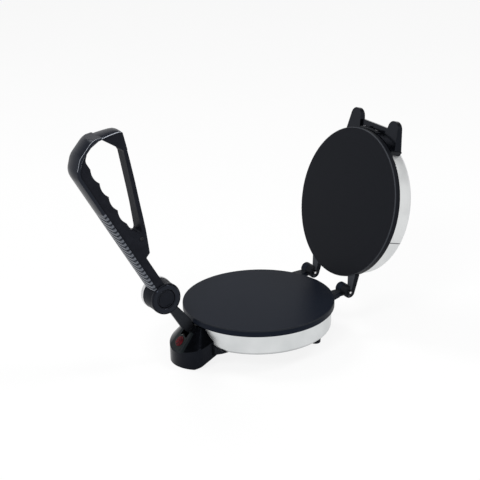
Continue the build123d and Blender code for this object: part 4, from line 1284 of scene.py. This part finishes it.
# ---------------------------------------------------------------- studio
@dataclass
class Camera:
    """Camera at the photograph's angle, fitted to the plates' rims."""

    azimuth: float = 58.85
    elevation: float = 21.59
    roll: float = -1.24
    distance: float = 1.7922
    right_shift: float = -0.02465
    up_shift: float = 0.07876
    target: Triple = (0.0, 0.0295, 0.06)
    lens: float = 100.55
    clip_end: float = 20.0

    def build(self) -> None:
        """Make the camera and set it as the scene's."""
        azimuth, elevation, roll = map(math.radians, (self.azimuth, self.elevation, self.roll))
        level_back = Vector((math.sin(azimuth), -math.cos(azimuth), 0.0))
        back = level_back * math.cos(elevation) + Vector((0.0, 0.0, math.sin(elevation)))
        level = Vector((math.cos(azimuth), math.sin(azimuth), 0.0))
        upright = back.cross(level)
        right = level * math.cos(roll) + upright * math.sin(roll)
        up = upright * math.cos(roll) - level * math.sin(roll)
        facing = Vector(self.target) + back * self.distance
        where = facing + right * self.right_shift + up * self.up_shift
        turn = Matrix((right, up, back)).transposed()
        bpy.ops.object.select_all(action="DESELECT")
        bpy.ops.object.camera_add(location=where, rotation=turn.to_euler())
        camera = bpy.context.object
        camera.name = "camera"
        camera.data.lens = self.lens
        camera.data.clip_end = self.clip_end
        bpy.context.scene.camera = camera


@dataclass(frozen=True)
class Lamp:
    """A square soft lamp that faces the object."""

    name: str
    where: Triple
    size: float  # side of the square in metres
    power: float  # watts
    target: Triple = (0.0, 0.0, 0.12)

    def build(self) -> None:
        """Add the lamp."""
        towards = Vector(self.target) - Vector(self.where)
        facing = towards.to_track_quat("-Z", "Y").to_euler()
        bpy.ops.object.light_add(type="AREA", location=self.where, rotation=facing)
        lamp = bpy.context.object
        lamp.name = self.name
        lamp.data.size = self.size
        lamp.data.energy = self.power


@dataclass
class Studio:
    """Pale floor, white walls that fade into a dark ceiling, and soft lamps."""

    floor_size: float = 10.0
    floor_drop: float = 0.0002  # below the feet
    paper: tuple[Colour, Colour] = ((0.86, 0.86, 0.86), (0.88, 0.88, 0.88))
    paper_patches: float = 3.0  # per metre
    paper_stops: Pair = (0.3, 0.7)
    paper_roughness: float = 0.9
    paper_specular: float = 0.1
    glow_seen: float = 0.86  # the floor's white glow, seen straight
    glow_mirrored: float = 0.6  # and seen in the object
    ambient: float = 0.5
    ceiling: float = 0.06
    wall_top: float = 0.36
    ceiling_start: float = 0.62
    lamps: tuple[Lamp, ...] = (
        Lamp("key", (0.9, -1.35, 1.55), 0.55, 17.0),
        Lamp("top", (0.75, 1.05, 1.7), 0.55, 13.0),
        Lamp("left", (-1.0, -0.5, 1.75), 0.6, 13.0),
    )

    def build(self) -> None:
        """Make the floor, the surroundings and the lamps."""
        bpy.context.scene.view_settings.view_transform = "Standard"
        self.floor()
        self.surroundings()
        for lamp in self.lamps:
            lamp.build()

    def floor(self) -> None:
        """Lay the floor: pale paper that reads as white and keeps a soft shadow."""
        bpy.ops.object.select_all(action="DESELECT")
        bpy.ops.mesh.primitive_plane_add(
            size=self.floor_size, location=(0.0, 0.0, -self.floor_drop)
        )
        floor = bpy.context.object
        floor.name = "floor"
        tree = Tree("floor_paper")
        mottle = tree.noise(self.paper_patches)
        tree.set(Base_Color=tree.ramp(mottle, self.paper_stops, *self.paper))
        tree.set(Roughness=self.paper_roughness, Specular_IOR_Level=self.paper_specular)
        glow = tree.node("Emission", Color=(*WHITE, 1.0), Strength=1.0)
        mirrored = tree.times(tree.mirrored(), self.glow_mirrored)
        share = tree.math("MULTIPLY_ADD", tree.path("Is Camera Ray"), self.glow_seen, mirrored)
        mix = tree.node("MixShader", Fac=share)
        tree.links.new(tree.shader.outputs["BSDF"], mix.inputs[1])
        tree.links.new(glow.outputs["Emission"], mix.inputs[2])
        tree.links.new(mix.outputs["Shader"], tree.output.inputs["Surface"])
        floor.data.materials.append(tree.material)

    def surroundings(self) -> None:
        """Make the world: white behind, white walls with a dark ceiling in reflections."""
        world = bpy.data.worlds.new("surroundings")
        bpy.context.scene.world = world
        graph = Graph(world, "OutputWorld")
        _, _, height = graph.axes_of(graph.node("TexCoord").outputs["Generated"])
        heights = {"From_Min": self.wall_top, "From_Max": self.ceiling_start}
        wall = graph.node("MapRange", Value=height, To_Min=1.0, To_Max=self.ceiling, **heights)
        wall.interpolation_type = "SMOOTHSTEP"
        reflected = graph.times(graph.mirrored(), wall.outputs["Result"])
        seen = graph.math("MAXIMUM", graph.path("Is Camera Ray"), reflected)
        diffuse = graph.times(graph.path("Is Diffuse Ray"), self.ambient)
        strength = graph.math("MAXIMUM", seen, diffuse)
        background = graph.node("Background", Color=(*WHITE, 1.0), Strength=strength)
        graph.links.new(background.outputs["Background"], graph.output.inputs["Surface"])


def main() -> None:
    """Build the camera, the sub-assemblies and the studio."""
    logging.basicConfig(level=logging.INFO, format="%(message)s")
    Camera().build()
    LowerUnit().build()
    FrontHousing().build()
    Lid().build()
    PressHandle().build()
    Studio().build()


if __name__ == "__main__":
    main()
